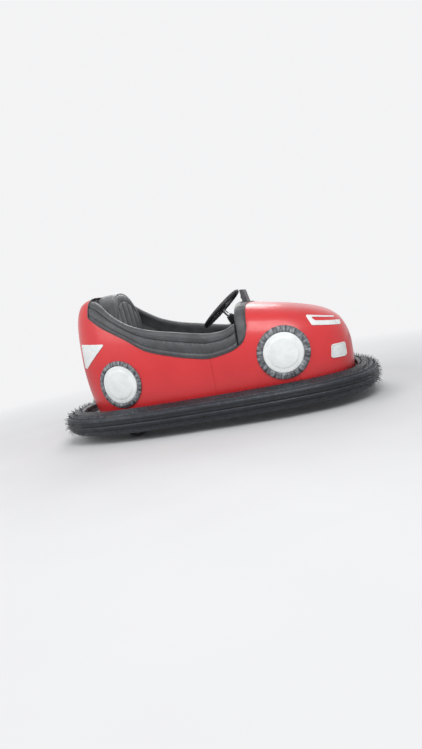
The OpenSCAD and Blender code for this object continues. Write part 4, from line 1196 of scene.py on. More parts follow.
def backSeams(p):
    y, z = p[:, 1], p[:, 2]
    b = backrest["border"]
    w, middle, top = backrest["wide"] - b, backrest["middle"], backrest["top"] - b
    arch = (1 - np.hypot(y / w, (z - middle) / (top - middle))) * w
    return seamsFrom(np.where(z > middle, arch, w - np.abs(y)), y, w, backrest["channels"])


def puff(piece, points, away, free, cap):
    # cloth pinned at the seams and blown up from inside, its travel capped
    pins = piece.vertex_groups.new(name="sewn")
    held = (away < seat["sewn"]) | (free < seat["turnedAway"])
    pins.add(np.nonzero(held)[0].tolist(), 1.0, "REPLACE")
    cloth = piece.modifiers.new("Cloth", "CLOTH")
    for key, value in (("quality", 5), ("mass", 0.3), ("use_pressure", True),
                       ("uniform_pressure_force", seat["pressure"]), ("vertex_group_mass", "sewn"),
                       ("tension_stiffness", 12), ("compression_stiffness", 12),
                       ("bending_stiffness", 0.4)):
        setattr(cloth.settings, key, value)
    cloth.settings.effector_weights.gravity = 0
    for step in range(1, seat["frames"] + 1):
        bpy.context.scene.frame_set(step)
    graph = bpy.context.evaluated_depsgraph_get()
    travel = meshPoints(piece.evaluated_get(graph).data) - points
    piece.modifiers.remove(cloth)
    piece.vertex_groups.clear()
    bpy.context.scene.frame_set(1)
    length = np.linalg.norm(travel, axis=1, keepdims=True)
    return travel * np.minimum(1, cap / np.maximum(length, 1e-9))


def stuff(piece, seams, axis, cap):
    # swells a pad between its sewn seams, on the side that faces along an axis
    def facing(normals):
        least, reach = seat["facing"]
        return np.clip((normals[:, axis] - least) / reach, 0, 1)

    modify(piece, "REMESH", mode="VOXEL", voxel_size=seat["voxel"], use_smooth_shade=True)
    points, normals = meshPoints(piece.data), meshNormals(piece.data)
    free, away = facing(normals), seams(points)
    deep = seat["seamDeep"] * np.exp(-(away / seat["seamWide"]) ** 2) * free
    points = points - normals * deep[:, None]
    setPoints(piece.data, points)
    setPoints(piece.data, points + puff(piece, points, away, free, cap))
    modify(piece, "SUBSURF", levels=1, render_levels=1)
    points, normals = meshPoints(piece.data), meshNormals(piece.data)
    groove = np.exp(-(seams(points) / seat["grooveWide"]) ** 2) * facing(normals)
    setPoints(piece.data, points - normals * (seat["grooveDeep"] * groove)[:, None])
    return smooth(piece, 70)


cushion = setOn(stuff(cushionShape(), cushionSeams, 2, seat["cushionCap"]), blackVinyl, "seat_cushion")
back = setOn(stuff(backShape(), backSeams, 0, seat["backCap"]), blackVinyl, "seat_back")


def onSurface(piece, points, out=0.0):
    # points pulled onto a piece, with the way out of it there
    found = [piece.closest_point_on_mesh(Vector(p))[1:3] for p in points]
    return np.array([spot + way * out for spot, way in found]), np.array([way for _, way in found])


def evenedOut(values, times, closed):
    values = np.array(values, float)
    for k in range(times):
        first, last = (values[-1:], values[:1]) if closed else (values[:1], values[-1:])
        padded = np.vstack([first, values, last])
        values = (padded[:-2] + 2 * padded[1:-1] + padded[2:]) / 4
    return values


piping = {"radius": 0.0034, "step": 0.006, "out": 0.0012, "sides": 10, "down": 0.011,
          "in": 0.004, "foot": 0.425, "backShare": 0.93, "backIn": 0.003}


def makePiping(name, carrier, line, closed):
    line = evenly(line, piping["step"])
    path, ups = onSurface(carrier, line[:-1] if closed else line, piping["out"])
    path, ups = evenedOut(path, 6, closed), evenedOut(ups, 8, closed)
    ups /= np.linalg.norm(ups, axis=1, keepdims=True)
    setOn(sweep(name, path, ups, piping["radius"], piping["sides"], closed), blackVinyl)


edge = bothHalves(cushionHalf(piping["in"], seat["top"] - piping["down"]))
makePiping("cushionPiping", cushion, edge + edge[:1], True)
edge = [(x, -y, z) for x, y, z in backOutline(piping["backShare"], piping["backIn"])
        if z > piping["foot"]]
makePiping("backPiping", back, bothHalves(edge), False)
print("seat made")


def spreadOut(model, places, name):
    # one piece with a copy of the model's mesh at each place
    points = meshPoints(model.data)
    faces = [tuple(f.vertices) for f in model.data.polygons]
    allPoints, allFaces = [], []
    for k, place in enumerate(places):
        m = np.array(place)
        allPoints.append(points @ m[:3, :3].T + m[:3, 3])
        allFaces += [tuple(i + k * len(points) for i in f) for f in faces]
    bpy.data.objects.remove(model, do_unlink=True)
    return smooth(makeMesh(name, np.vstack(allPoints), allFaces))


def frameOf(x, z, point):
    y = z.cross(x)
    return Matrix([(x[k], y[k], z[k], point[k]) for k in range(3)] + [(0, 0, 0, 1)])


def placeAt(point, up, along=(0, 0, 1)):
    # a frame with its z on up
    z = Vector(up).normalized()
    x = Vector(along).cross(z)
    if x.length < 0.01:
        x = Vector((1, 0, 0)).cross(z)
    return frameOf(x.normalized(), z, point)


def lathe(name, profile, turns=48):
    # turned round z, and a profile that is not closed ends on the axis
    angle = fullTurn(turns)
    points = [np.column_stack([r * np.cos(angle), r * np.sin(angle), np.full(turns, h)])
              for r, h in profile]
    onAxis = profile[0][0] == 0 or profile[-1][0] == 0
    piece = makeMesh(name, points, gridFaces(len(profile), turns, not onAxis, True))
    return smooth(mergeAndTurnOut(piece, 0.000002))


def plate(name, outline, low, high, edge=0.001, holes=()):
    # a flat plate with rounded edges, in x and y
    loops = [np.array(loop) for loop in (outline, *holes)]
    points, edges = [], []
    for loop in loops:
        first = len(points)
        points += [Vector((p[0], p[1])) for p in loop]
        edges += [(first + k, first + (k + 1) % len(loop)) for k in range(len(loop))]
    flat = delaunay_2d_cdt(points, edges, [], 2, 0.000001)
    spots = np.array([tuple(p) for p in flat[0]])
    middles = np.array([spots[list(face)].mean(0) for face in flat[2]])
    faces = [tuple(face) for face, kept in zip(flat[2], withinAll(middles, loops)) if kept]
    piece = makeMesh(name, np.column_stack([spots, np.full(len(spots), low)]), faces)

    def raised(b):
        bmesh.ops.dissolve_limit(b, angle_limit=0.02, verts=b.verts, edges=b.edges)
        made = bmesh.ops.extrude_face_region(b, geom=b.faces[:])
        for item in made["geom"]:
            if isinstance(item, bmesh.types.BMVert):
                item.co.z = high
        bmesh.ops.recalc_face_normals(b, faces=b.faces)

    reshaped(piece, raised)
    return smooth(roundEdges(piece, edge) if edge else piece)


def circle(r, count, y=0):
    return [(r * math.cos(a), y + r * math.sin(a)) for a in fullTurn(count)]


def cylinder(radius, low, high, sides):
    deselect()
    bpy.ops.mesh.primitive_cylinder_add(vertices=sides, radius=radius, depth=high - low,
                                        location=(0, 0, (low + high) / 2))
    bpy.ops.object.transform_apply(location=True)
    return bpy.context.object


def screwHead(radius, tall):
    # a domed head with a round socket
    def socketed(b):
        top = max(b.faces, key=lambda f: f.calc_center_median().z)
        for inwards, deep in ((radius * 0.25, tall * 0.25), (radius * 0.25, 0), (0.0001, -tall * 0.6)):
            bmesh.ops.inset_region(b, faces=[top], thickness=inwards, depth=deep)

    return reshaped(cylinder(radius, -0.002, tall, 14), socketed)


def hexNut(radius, tall):
    nut = roundEdges(cylinder(radius, 0, tall, 6), radius * 0.12, over=30)
    washer = lathe("washer", [(0, 0), (radius * 1.45, 0), (radius * 1.45, tall * 0.2),
                              (radius * 1.38, tall * 0.26), (0, tall * 0.26)], 28)
    stud = lathe("stud", [(0, tall * 0.5), (radius * 0.5, tall * 0.5), (radius * 0.5, tall * 1.3),
                          (radius * 0.42, tall * 1.4), (0, tall * 1.4)], 20)
    return joined([nut, washer, stud], "nut")


def screwsAt(name, radius, tall, spots, body="chassis"):
    return setOn(spreadOut(screwHead(radius, tall), spots, name), brightSteel, body=body)


def nutsAt(name, radius, tall, spots, body="chassis"):
    return setOn(spreadOut(hexNut(radius, tall), spots, name), brightSteel, body=body)


# beside: how far from its seam a row of stitches runs
stitch = {"long": 0.0046, "radius": 0.00075, "step": 0.0075, "beside": 0.0055, "near": 0.01,
          "foot": 0.43, "padEnds": 0.014, "padBeside": 0.035, "padOut": 0.004}


def stitchRows():
    # the piece each row is sewn on, and a line of points near it
    beside, near = stitch["beside"], stitch["near"]
    b, c = seat["border"] + beside, backrest["border"] + beside
    border = [(x, b - float(cushionSide(x)), seat["top"] + near)
              for x in np.linspace(seat["back"] + seat["corner"], seat["front"] - b, 30)]
    w, middle, top = backrest["wide"] - c, backrest["middle"], backrest["top"] - c
    arch = [(w, z) for z in np.linspace(stitch["foot"], middle, 14)[:-1]]
    arch += archOf(w, middle, top, np.linspace(0, 90, 26))
    rows = [(cushion, bothHalves(border)),
            (back, bothHalves([(backDepth(z, 1) + near, y, z) for y, z in arch]))]
    xs = np.linspace(pads["back"] + stitch["padEnds"], pads["front"] - stitch["padEnds"], 120)
    low, high = smoothLine(cutLine, xs), smoothLine(padLine, xs)
    for seam in pads["seams"][1:-1]:
        turn = turnAt(xs, low + (high - low) * (seam + stitch["padBeside"]))
        line = bodyPoint(xs, turn) + stitch["padOut"] * bodyOut(xs, turn)
        rows += [(rightPad, line), (leftPad, line * (1, -1, 1))]
    return rows


def makeStitches():
    spots = []
    for carrier, line in stitchRows():
        path, ways = onSurface(carrier, evenly(line, stitch["step"]))
        for spot, way, ahead in zip(path, ways, np.gradient(path, axis=0)):
            x = Vector(ahead).normalized()
            z = (Vector(way) - x * Vector(way).dot(x)).normalized()
            spots.append(frameOf(x, z, spot))
    half, r = stitch["long"] / 2, stitch["radius"]
    model = lathe("stitchModel", [(0, -half), (r * 0.8, -half * 0.8), (r, 0), (r * 0.8, half * 0.8),
                                  (0, half)], 6)
    moved(model, Matrix.Rotation(math.pi / 2, 4, "Y"))
    setOn(spreadOut(model, spots, "padStitches"), thread)


makeStitches()


column = {"x": 0.104, "z": 0.645, "to": (0.385, 0.286)}
wheel = {"radius": 0.142, "grip": 0.013, "fingers": 30, "finger": 0.0016, "hub": 0.034,
         "bore": 0.0125, "under": 0.014, "turns": 240, "sides": 28, "spoke": (-0.008, -0.001),
         "spokeEdge": 0.0016, "spokeTurns": (60, 180, 300),
         # half of a spoke: distance from the hub's edge or the middle, half width
         "spokeRoot": [(-0.01, -0.027), (0.006, -0.0225), (0.02, -0.017)],
         "spokeTip": [(0.1, -0.0135), (0.142, -0.013)],
         "slot": [(0.058, -0.005), (0.111, -0.0045), (0.111, 0.0045), (0.058, 0.005)],
         "slotRound": 0.0044}
boss = {"screw": (0.0036, 0.0022), "screwCircle": 0.0215, "screwZ": 0.0142,
        "profile": [(0, 0.0042), (0.0355, 0.0042), (0.0358, 0.006), (0.034, 0.0095),
                    (0.0305, 0.013), (0.029, 0.0152), (0.0275, 0.016), (0.0262, 0.0158),
                    (0.0255, 0.0145), (0.0245, 0.0142), (0.0175, 0.0142), (0.0165, 0.0145),
                    (0.0158, 0.0158), (0.0145, 0.0164), (0.008, 0.0168), (0, 0.017)]}


def columnFrame():
    up = Vector((column["x"] - column["to"][0], 0, column["z"] - column["to"][1])).normalized()
    return frameOf(Vector((up.z, 0, -up.x)), up, (column["x"], 0, column["z"]))


onColumn = columnFrame()


def makeSteeringWheel():
    angle = fullTurn(wheel["turns"])
    loops = []
    for a in fullTurn(wheel["sides"]):
        # finger waves under and inside the rim
        inner = max(0.0, -math.cos(a) * 0.7 - math.sin(a) * 0.7)
        grip = wheel["grip"] - wheel["finger"] * inner * (0.5 + 0.5 * np.cos(angle * wheel["fingers"]))
        r = wheel["radius"] + grip * math.cos(a)
        loops.append(np.column_stack([r * np.cos(angle), r * np.sin(angle), grip * math.sin(a)]))
    rim = smooth(loft("wheelRim", loops, True, 0.000002), 60)
    hub, bore, under = wheel["hub"], wheel["bore"], -wheel["under"]
    slot = roundedOutline(wheel["slot"], wheel["slotRound"], 5)
    half = [(hub + x, y) for x, y in wheel["spokeRoot"]] + wheel["spokeTip"]
    outline = half + [(x, -y) for x, y in half[::-1]]
    core = lathe("wheelCore", [(bore, under), (hub - 0.003, under), (hub, under + 0.003),
                               (hub, 0.0015), (hub - 0.0025, 0.004), (bore, 0.004)], 72)
    spokes = [moved(plate("wheelSpoke", outline, *wheel["spoke"], wheel["spokeEdge"], [slot]),
                    Matrix.Rotation(math.radians(turn), 4, "Z")) for turn in wheel["spokeTurns"]]
    piece = moved(joined([rim, core] + spokes, "steeringWheel"), onColumn)
    setOn(piece, gripRubber, "steering_wheel", body="steering")


def makeSteeringBoss():
    pad = moved(lathe("bossPad", boss["profile"], 96), onColumn)
    setOn(pad, blackMoulding, "steering_boss", body="steering")
    r = boss["screwCircle"]
    spots = [onColumn @ Matrix.Translation((r * math.cos(a), r * math.sin(a), boss["screwZ"]))
             for a in fullTurn(6) + math.pi / 6]
    screwsAt("bossScrews", *boss["screw"], spots, "steering")


makeSteeringWheel()
makeSteeringBoss()

# gaiter over the end of the jacket, and a clamp below it
gaiter = {"folds": 6, "start": -0.112, "pitch": 0.0072, "radius": 0.034, "taper": 0.0019,
          "foot": [(0.0205, -0.118), (0.031, -0.118), (0.034, -0.114)],
          # one fold: further out, further up
          "fold": [(0, 0), (0.0012, 0.0014), (-0.0002, 0.003), (-0.0042, 0.0052)],
          "mouth": [(0.0185, -0.0665), (0.0142, -0.064), (0.0128, -0.064), (0.0128, -0.07),
                    (0.0205, -0.078)]}
clamp = {"band": [(0.0202, -0.2), (0.0235, -0.2), (0.0242, -0.1985), (0.0242, -0.1795),
                  (0.0235, -0.178), (0.0202, -0.178)],
         "ear": (0.0125, 0.011, 0.004, 4, 0.0325), "earZ": -0.189, "apart": 0.0035}


def makeColumnDetails():
    profile = list(gaiter["foot"])
    for k in range(gaiter["folds"]):
        z, r = gaiter["start"] + k * gaiter["pitch"], gaiter["radius"] - k * gaiter["taper"]
        profile += [(r + out, z + up) for out, up in gaiter["fold"]]
    setOn(moved(lathe("columnBoot", profile + gaiter["mouth"], 64), onColumn), gripRubber)
    parts = [lathe("clampBand", clamp["band"], 56)]
    for side in (-1, 1):
        ear = plate("clampEar", roundedBox(*clamp["ear"]), -0.0015, 0.0015, 0.0005)
        parts.append(moved(ear, Matrix.Translation((0, side * clamp["apart"], clamp["earZ"]))
                           @ Matrix.Rotation(math.pi / 2, 4, "X")))
    setOn(moved(joined(parts, "columnClamp"), onColumn), blackSteel)


makeColumnDetails()
print("steering made")


panelX = car["dashX"] + 0.006
cockpit = {"baseFront": -0.155, "coverSide": 0.1737, "coverTop": 0.26, "coverX": 0.385}
# two buttons, a key switch and a blank token plate, with their places to the left and up
fittings = {
    "buttons": [(0.165, 0.5), (0.205, 0.5)], "key": (0.185, 0.45), "token": (-0.185, 0.475),
    "collar": [(0.0095, -0.002), (0.014, -0.002), (0.014, 0.002), (0.0128, 0.0035),
               (0.0105, 0.0035), (0.0095, 0.0025)],
    "cap": [(0, -0.001), (0.0092, -0.001), (0.0092, 0.0048), (0.0082, 0.006), (0.004, 0.0056),
            (0, 0.0052)],
    "barrel": [(0, -0.002), (0.0155, -0.002), (0.0155, 0.002), (0.014, 0.0038), (0.0105, 0.0038),
               (0.0098, 0.0075), (0.009, 0.0085), (0, 0.0085)],
    "bow": [(-0.004, 0), (0.004, 0), (0.009, 0.014), (0.009, 0.03), (-0.009, 0.03), (-0.009, 0.014)],
    "bowHole": (0.0035, 16, 0.023), "bowOut": 0.006,
    "plate": (0.034, 0.052, 0.008), "slit": (0.0018, 0.015, 0.0016, 3, 0, 0.019),
    "cupHole": (0.02, 0.013, 0.005, 4, 0, -0.027), "cup": (0.021, 0.014, 0.005, 4, 0, -0.027),
}


def facingBack(x, y, z, lean=0):
    # on a panel that faces the driver: x to the left, y up
    c, s = math.cos(lean), math.sin(lean)
    return Matrix(((0, -s, -c, x), (-1, 0, 0, y), (0, c, -s, z), (0, 0, 0, 1)))


def makeDashFittings():
    steel, black = [], []
    for y, z in fittings["buttons"]:
        place = facingBack(panelX, y, z)
        steel.append(moved(lathe("buttonCollar", fittings["collar"], 40), place))
        black.append(moved(lathe("buttonCap", fittings["cap"], 36), place))
    place = facingBack(panelX, *fittings["key"])
    steel.append(moved(lathe("keyBarrel", fittings["barrel"], 44), place))
    bow = plate("keyBow", roundedOutline(fittings["bow"], 0.003, 4), -0.0011, 0.0011, 0.0004,
                [circle(*fittings["bowHole"])])
    upright = Matrix.Translation((0, 0, fittings["bowOut"])) @ Matrix.Rotation(math.pi / 2, 4, "X")
    steel.append(moved(bow, place @ upright))
    place = facingBack(panelX, *fittings["token"])
    openings = [roundedBox(*fittings[key]) for key in ("slit", "cupHole")]
    sheet = plate("tokenPlate", roundedBox(*fittings["plate"]), 0, 0.003, 0.0008, openings)
    steel.append(moved(sheet, place))
    cup = plate("tokenCup", roundedBox(*fittings["cup"]), 0.0003, 0.001, 0.0002)
    black.append(moved(cup, place))
    setOn(joined(steel, "dashFittings"), brightSteel)
    setOn(joined(black, "dashButtons"), blackMoulding)


makeDashFittings()

pod = {"back": 0.038, "up": 0.0433, "slope": (0.008, 0.078), "sink": 0.003,
       "frame": (0.0625, 0.0205, 0.005, 5), "window": (0.0555, 0.0145, 0.003, 5)}


def makePodFace():
    # a blank dark window with a frame, in the pod's recess
    x = car["dashX"] - pod["back"]
    place = facingBack(x - pod["sink"], 0, float(topZ(x)) + pod["up"], -math.atan2(*pod["slope"]))
    inner = roundedBox(*pod["window"])
    setOn(moved(plate("podFrame", roundedBox(*pod["frame"]), -0.003, 0.0035, 0.001, [inner]), place),
          blackMoulding)
    setOn(moved(plate("podWindow", inner, -0.003, 0.001, 0.0006), place), darkWindow)


makePodFace()

mat = {"thick": 0.0035, "rib": 0.0014, "pitch": 0.012, "ribHalf": (0.0036, 0.0026), "margin": 0.03,
       "edge": 0.0006, "under": 0.0004, "rear": 0.012, "front": 0.008, "side": 0.022,
       "plain": 0.018, "slope": (0.004, 0.002)}


def makeMat():
    # ribbed rubber mat on the cockpit floor, up to the cover over the drive
    rear = cockpit["baseFront"] + mat["rear"]
    front = cockpit["coverX"] - cockpit["coverSide"] - mat["front"]
    wide = float(tubSide(rear)) - mat["side"]
    ends, sides = mat["slope"]
    xs = np.array([rear, rear + ends, *np.linspace(rear + mat["plain"], front - mat["plain"], 12),
                   front - ends, front])
    thick, ribbed, edge = mat["thick"], mat["thick"] + mat["rib"], mat["edge"]
    foot, crest = mat["ribHalf"]
    count = int((wide - mat["margin"]) / mat["pitch"])
    outer = count * mat["pitch"] + ends
    # across the mat: place, height
    across = [(-wide, edge), (sides - wide, thick), (-outer, thick)]
    for k in range(-count, count + 1):
        y = k * mat["pitch"]
        across += [(y - foot, thick), (y - crest, ribbed), (y + crest, ribbed), (y + foot, thick)]
    ys, zs = np.array(across + [(outer, thick), (wide - sides, thick), (wide, edge)]).T
    most = np.array([edge, thick] + [ribbed] * (len(xs) - 4) + [thick, edge])
    top = np.stack([*np.meshgrid(xs, ys, indexing="ij"),
                    np.minimum(zs[None, :], most[:, None]) + car["deck"]], -1)
    low = top.copy()
    low[:, :, 2] = car["deck"] + mat["under"]
    rows, cols = top.shape[:2]
    n = rows * cols
    grid = np.arange(n).reshape(rows, cols)
    rim = [*grid[0], *grid[1:, -1], *grid[-1, -2::-1], *grid[-2:0:-1, 0]]
    faces = gridFaces(rows, cols) + [f[::-1] for f in gridFaces(rows, cols, start=n)]
    faces += [(a, e, e + n, a + n) for a, e in zip(rim, rim[1:] + rim[:1])]
    piece = mergeAndTurnOut(makeMesh("floorMat", [top, low], faces), 0.0000005)
    setOn(smooth(piece), gripRubber)


makeMat()

pedal = {"place": (0.176, -0.277, 0.04), "slope": (-0.625, 0, 0.781), "half": (0.039, 0.032),
         "ribs": 6, "first": -0.03, "pitch": 0.012, "ribHalf": (0.0025, 0.027)}


def makePedalRubber():
    # ribbed rubber on the slope of the treadle
    x, y, z = pedal["place"]
    parts = [plate("pedalBase", roundedBox(*pedal["half"], 0.006), 0.0003, 0.0028, 0.0008)]
    for k in range(pedal["ribs"]):
        outline = roundedBox(*pedal["ribHalf"], 0.0024, 3, pedal["first"] + pedal["pitch"] * k)
        parts.append(plate("pedalRib", outline, 0.0026, 0.005, 0.0006))
    place = placeAt((x, y, car["deck"] + z), pedal["slope"], (0, 1, 0))
    setOn(moved(joined(parts, "pedalRubber"), place), gripRubber)


makePedalRubber()

# raised lozenges where the floor plate shows
tread = {"long": 0.024, "wide": 0.0075, "tall": 0.0016, "pitch": 0.029, "sink": -0.0004,
         "crest": (0.72, 0.6), "ring": 0.14, "gap": 0.014, "footX": (0.215, 0.5), "footY": (0.19, 0.33)}


def floorShows(x, y):
    inRing = sum((abs(a) / (car[key] - tread["ring"])) ** car["ringSquare"]
                 for a, key in ((x, "ringA"), (y, "ringB"))) <= 1
    side = float(halfWide(np.array(x))) * (1 - tuck["side"]) + tread["gap"]
    inBody = car["tail"] < x < car["nose"] and abs(y) < side
    (rear, front), (inner, outer) = tread["footX"], tread["footY"]
    atFeet = rear <= x < front and inner < abs(y) < outer
    return inRing and (atFeet or not inBody)


def makeTreadPlate():
    a, b = tread["long"] / 2, tread["wide"] / 2
    model = plate("lozenge", [(-a, 0), (-a / 2, -b), (a / 2, -b), (a, 0), (a / 2, b), (-a / 2, b)],
                  tread["sink"], tread["tall"], 0)
    points = meshPoints(model.data)
    points[points[:, 2] > 0] *= (*tread["crest"], 1)
    setPoints(model.data, points)
    spots = []
    count = int(car["ringA"] / tread["pitch"])
    for i in range(-count, count + 1):
        for j in range(-count, count + 1):
            x, y = i * tread["pitch"], j * tread["pitch"]
            if floorShows(x, y):
                turn = math.radians(45 if (i + j) % 2 else -45)
                spots.append(Matrix.Translation((x, y, car["deck"])) @ Matrix.Rotation(turn, 4, "Z"))
    setOn(spreadOut(model, spots, "treadPlate"), floorSteel)


makeTreadPlate()

screws = {"body": (0.0065, 0.0032), "panel": (0.005, 0.0028), "low": 0.024, "sink": 0.0002,
          "bodyX": np.arange(-0.68, 0.76, 0.12), "down": -0.08, "drawn": 0.93, "under": 0.03,
          "panelTurns": (24, 34, 46, 60, 75, 90, 105, 120, 134, 146, 156),
          "lid": 0.135, "aboveLid": 0.05, "coverY": 0.0975, "coverZ": (0.16, 0.235)}


def makeScrews():
    z, sink, spots = car["deck"] + screws["low"], screws["sink"], []
    for x in screws["bodyX"]:
        y = float(skinY(x, z)) + sink
        slope = float(skinY(x + 0.004, z) - skinY(x - 0.004, z)) / 0.008
        spots += [placeAt((x, side * y, z), (-slope, side, screws["down"])) for side in (-1, 1)]
    screwsAt("bodyScrews", *screws["body"], spots)
    top, x, spots = cockpit["coverTop"], cockpit["coverX"], []
    for p in bodyPoint(panelX, np.array(screws["panelTurns"])):
        if p[2] - screws["under"] > top + screws["aboveLid"]:
            spots.append(facingBack(panelX - sink, p[1] * screws["drawn"], p[2] - screws["under"]))
    sides = (-1, 1)
    spots += [Matrix.Translation((x + a * screws["lid"], b * screws["lid"], top - sink))
              for a in sides for b in sides]
    spots += [facingBack(x - cockpit["coverSide"] - sink, side * screws["coverY"], z)
              for side in sides for z in screws["coverZ"]]
    screwsAt("panelScrews", *screws["panel"], spots)


makeScrews()
print("cockpit fittings made")


tyres = [
    {"name": "driveTyre", "body": "drive_wheel", "node": "drive_tyre", "x": 0.385, "y": 0,
     "z": 0.1, "r": 0.1, "bore": 0.074, "wide": 0.06, "blocks": 44, "turns": 240,
     "nuts": "driveHubNuts", "circle": 0.0428, "nut": 0.0055},
    {"name": "rearTyreLeft", "body": "rear_wheel_left", "node": "rear_tyre_left", "x": -0.47,
     "y": 0.345, "z": 0.08, "r": 0.08, "bore": 0.06, "wide": 0.04, "blocks": 0, "turns": 144,
     "nuts": "rearHubNutsLeft", "circle": 0.0358, "nut": 0.0042},
]
tyres.append(dict(tyres[1], name="rearTyreRight", body="rear_wheel_right", node="rear_tyre_right",
                  y=-0.345, nuts="rearHubNutsRight"))
# grooves: shares of the half width. groove: half widths at its top and floor, its depth.
# outer: where the blocks begin. cut and gap: depth of the gaps between blocks, their share
tyreShape = {"grooves": (0.52, 0.18), "groove": (0.0022, 0.0014, 0.003), "outer": 0.55,
             "cut": 0.0035, "gap": 0.24, "hubFace": 0.006, "nutTall": 0.004,
             "axle": (0.0082, 0.006), "axleY": ((0.3821, 1), (0.3079, -1)),
             "driveAxle": (0.014, 0.009), "driveAxleAt": (0.385, -0.0461, 0.1)}


def makeTyre(tyre):
    # a solid tyre: grooved tread, a rib on each side wall
    r, half, bore, turns = tyre["r"], tyre["wide"] / 2, tyre["bore"], tyre["turns"]
    upper = [(bore, half), (bore + 0.003, half), (bore + 0.0045, half - 0.0012),
             (bore + 0.009, half - 0.0012), (bore + 0.0105, half), (r - 0.0075, half),
             (r - 0.003, half - 0.0018), (r - 0.0006, half - 0.0045), (r, half - 0.0075)]
    mouth, floor, deep = tyreShape["groove"]
    for share in tyreShape["grooves"]:
        y = half * share
        upper += [(r, y + mouth), (r - deep, y + floor), (r - deep, y - floor), (r, y - mouth)]
    angle = fullTurn(turns)
    loops = []
    for radius, y in upper + [(a, -b) for a, b in upper[::-1]]:
        reach = np.full(turns, radius)
        if tyre["blocks"] and radius > r - 0.001 and abs(y) > half * tyreShape["outer"]:
            step = (np.arange(turns) * tyre["blocks"] / turns + (0.5 if y < 0 else 0)) % 1
            reach = reach - tyreShape["cut"] * (step < tyreShape["gap"])
        loops.append(np.column_stack([tyre["x"] + reach * np.cos(angle), np.full(turns, tyre["y"] + y),
                                      tyre["z"] + reach * np.sin(angle)]))
    piece = loft(tyre["name"], loops, True, 0.000002)
    setOn(smooth(piece), wheelRubber, tyre["node"], body=tyre["body"])


def makeWheels():
    sides = (-1, 1)
    for tyre in tyres:
        makeTyre(tyre)
    for tyre in tyres:
        x, y, z, circle = (tyre[key] for key in ("x", "y", "z", "circle"))
        spots = [placeAt((x + circle * math.cos(a), y + side * tyreShape["hubFace"],
                          z + circle * math.sin(a)), (0, side, 0))
                 for a in fullTurn(6) for side in sides]
        nutsAt(tyre["nuts"], tyre["nut"], tyreShape["nutTall"], spots, tyre["body"])
    rear = tyres[1]
    spots = [placeAt((rear["x"], side * y, rear["z"]), (0, side * way, 0))
             for y, way in tyreShape["axleY"] for side in sides]
    nutsAt("rearAxleNuts", *tyreShape["axle"], spots)
    nutsAt("driveAxleNut", *tyreShape["driveAxle"],
           [placeAt(tyreShape["driveAxleAt"], (0, -1, 0))], "drive_unit")


makeWheels()

welds = {"radius": 0.0028, "ripple": 0.0006, "every": 0.0024, "sides": 8, "railY": 0.3,
         "crossX": (-0.62, -0.33, -0.09, 0.185, 0.585), "half": 0.02, "low": 0.09, "high": 0.13,
         "in": 0.002, "bracketX": (-0.518, -0.422), "bracketY": (0.308, 0.382)}
rimNuts = {"count": 28, "in": -0.097, "z": 0.0677, "size": (0.0075, 0.005)}


def weldBead(start, end, up):
    start, end, up = np.array(start, float), np.array(end, float), np.array(up)
    long = np.linalg.norm(end - start)
    count = max(6, int(long / welds["every"] * 2))
    path = start + (end - start) * np.linspace(0, 1, count)[:, None]
    radius = welds["radius"] + welds["ripple"] * np.where(np.arange(count) % 2, 1, -1)
    radius[0] = radius[-1] = welds["radius"] * 0.5
    across = np.cross((end - start) / long, up)
    rows = [path + radius[:, None] * (math.cos(a) * across + math.sin(a) * up)
            for a in fullTurn(welds["sides"])]
    return loft("weld", np.stack(rows, 1), merge=None)


def makeWelds():
    beads = []
    half, low, high, rail = (welds[key] for key in ("half", "low", "high", "railY"))
    foot, head = low + welds["in"], high - welds["in"]
    for s in (-1, 1):
        for x in welds["crossX"]:
            for out in (-1, 1):
                y = s * (rail + out * half)
                beads += [weldBead((end, y, foot), (end, y, head), (0, s * out, 0))
                          for end in (x - half, x + half)]
                beads.append(weldBead((x - half, y, low), (x + half, y, low), (0, 0, -1)))
        # brackets of the rear wheels to the tubes above them
        rear, front = welds["bracketX"]
        beads += [weldBead((rear, s * y, low), (front, s * y, low), (0, 0, -1))
                  for y in welds["bracketY"]]
    setOn(smooth(mergeAndTurnOut(joined(beads, "weldBeads"), 0.0000005), 70), blackSteel)
    # nuts under the ledge that carries the rubber ring
    places = ringPoint(ringTurns(rimNuts["count"]), rimNuts["in"])[0]
    nutsAt("rimNuts", *rimNuts["size"],
           [placeAt((*p, rimNuts["z"]), (0, 0, -1), (1, 0, 0)) for p in places])


makeWelds()

tail = {"ahead": 0.0018, "in": 0.0095, "half": 0.0015, "edge": 0.0005,
        "turns": [(12, 60, 30), (62, 118, 40), (120, 168, 30)]}


def makeTailPanel():
    # closes the tail behind the backrest
    x = cutRear + tail["ahead"]
    turns = np.concatenate([np.linspace(*some) for some in tail["turns"]])
    p = bodyPoint(x, turns) - tail["in"] * bodyOut(x, turns)
    sheet = plate("tailPanel", p[:, 1:], -tail["half"], tail["half"], tail["edge"])
    setOn(moved(sheet, ((0, 0, 1, x), (1, 0, 0, 0), (0, 1, 0, 0), (0, 0, 0, 1))), blackMoulding)


makeTailPanel()
print("wheels and underside made")


# the camera beside the car: place, turns in radians, the car's lean against it in degrees,
# its focal length and the picture's height in pixels
view = {"place": (0.7305, -3.832, 0.690), "turn": 0.1739, "roll": 0.0362, "pitch": -0.1418,
        "tilt": 8.95, "focal": 620.07, "tall": 749, "sensor": 36}


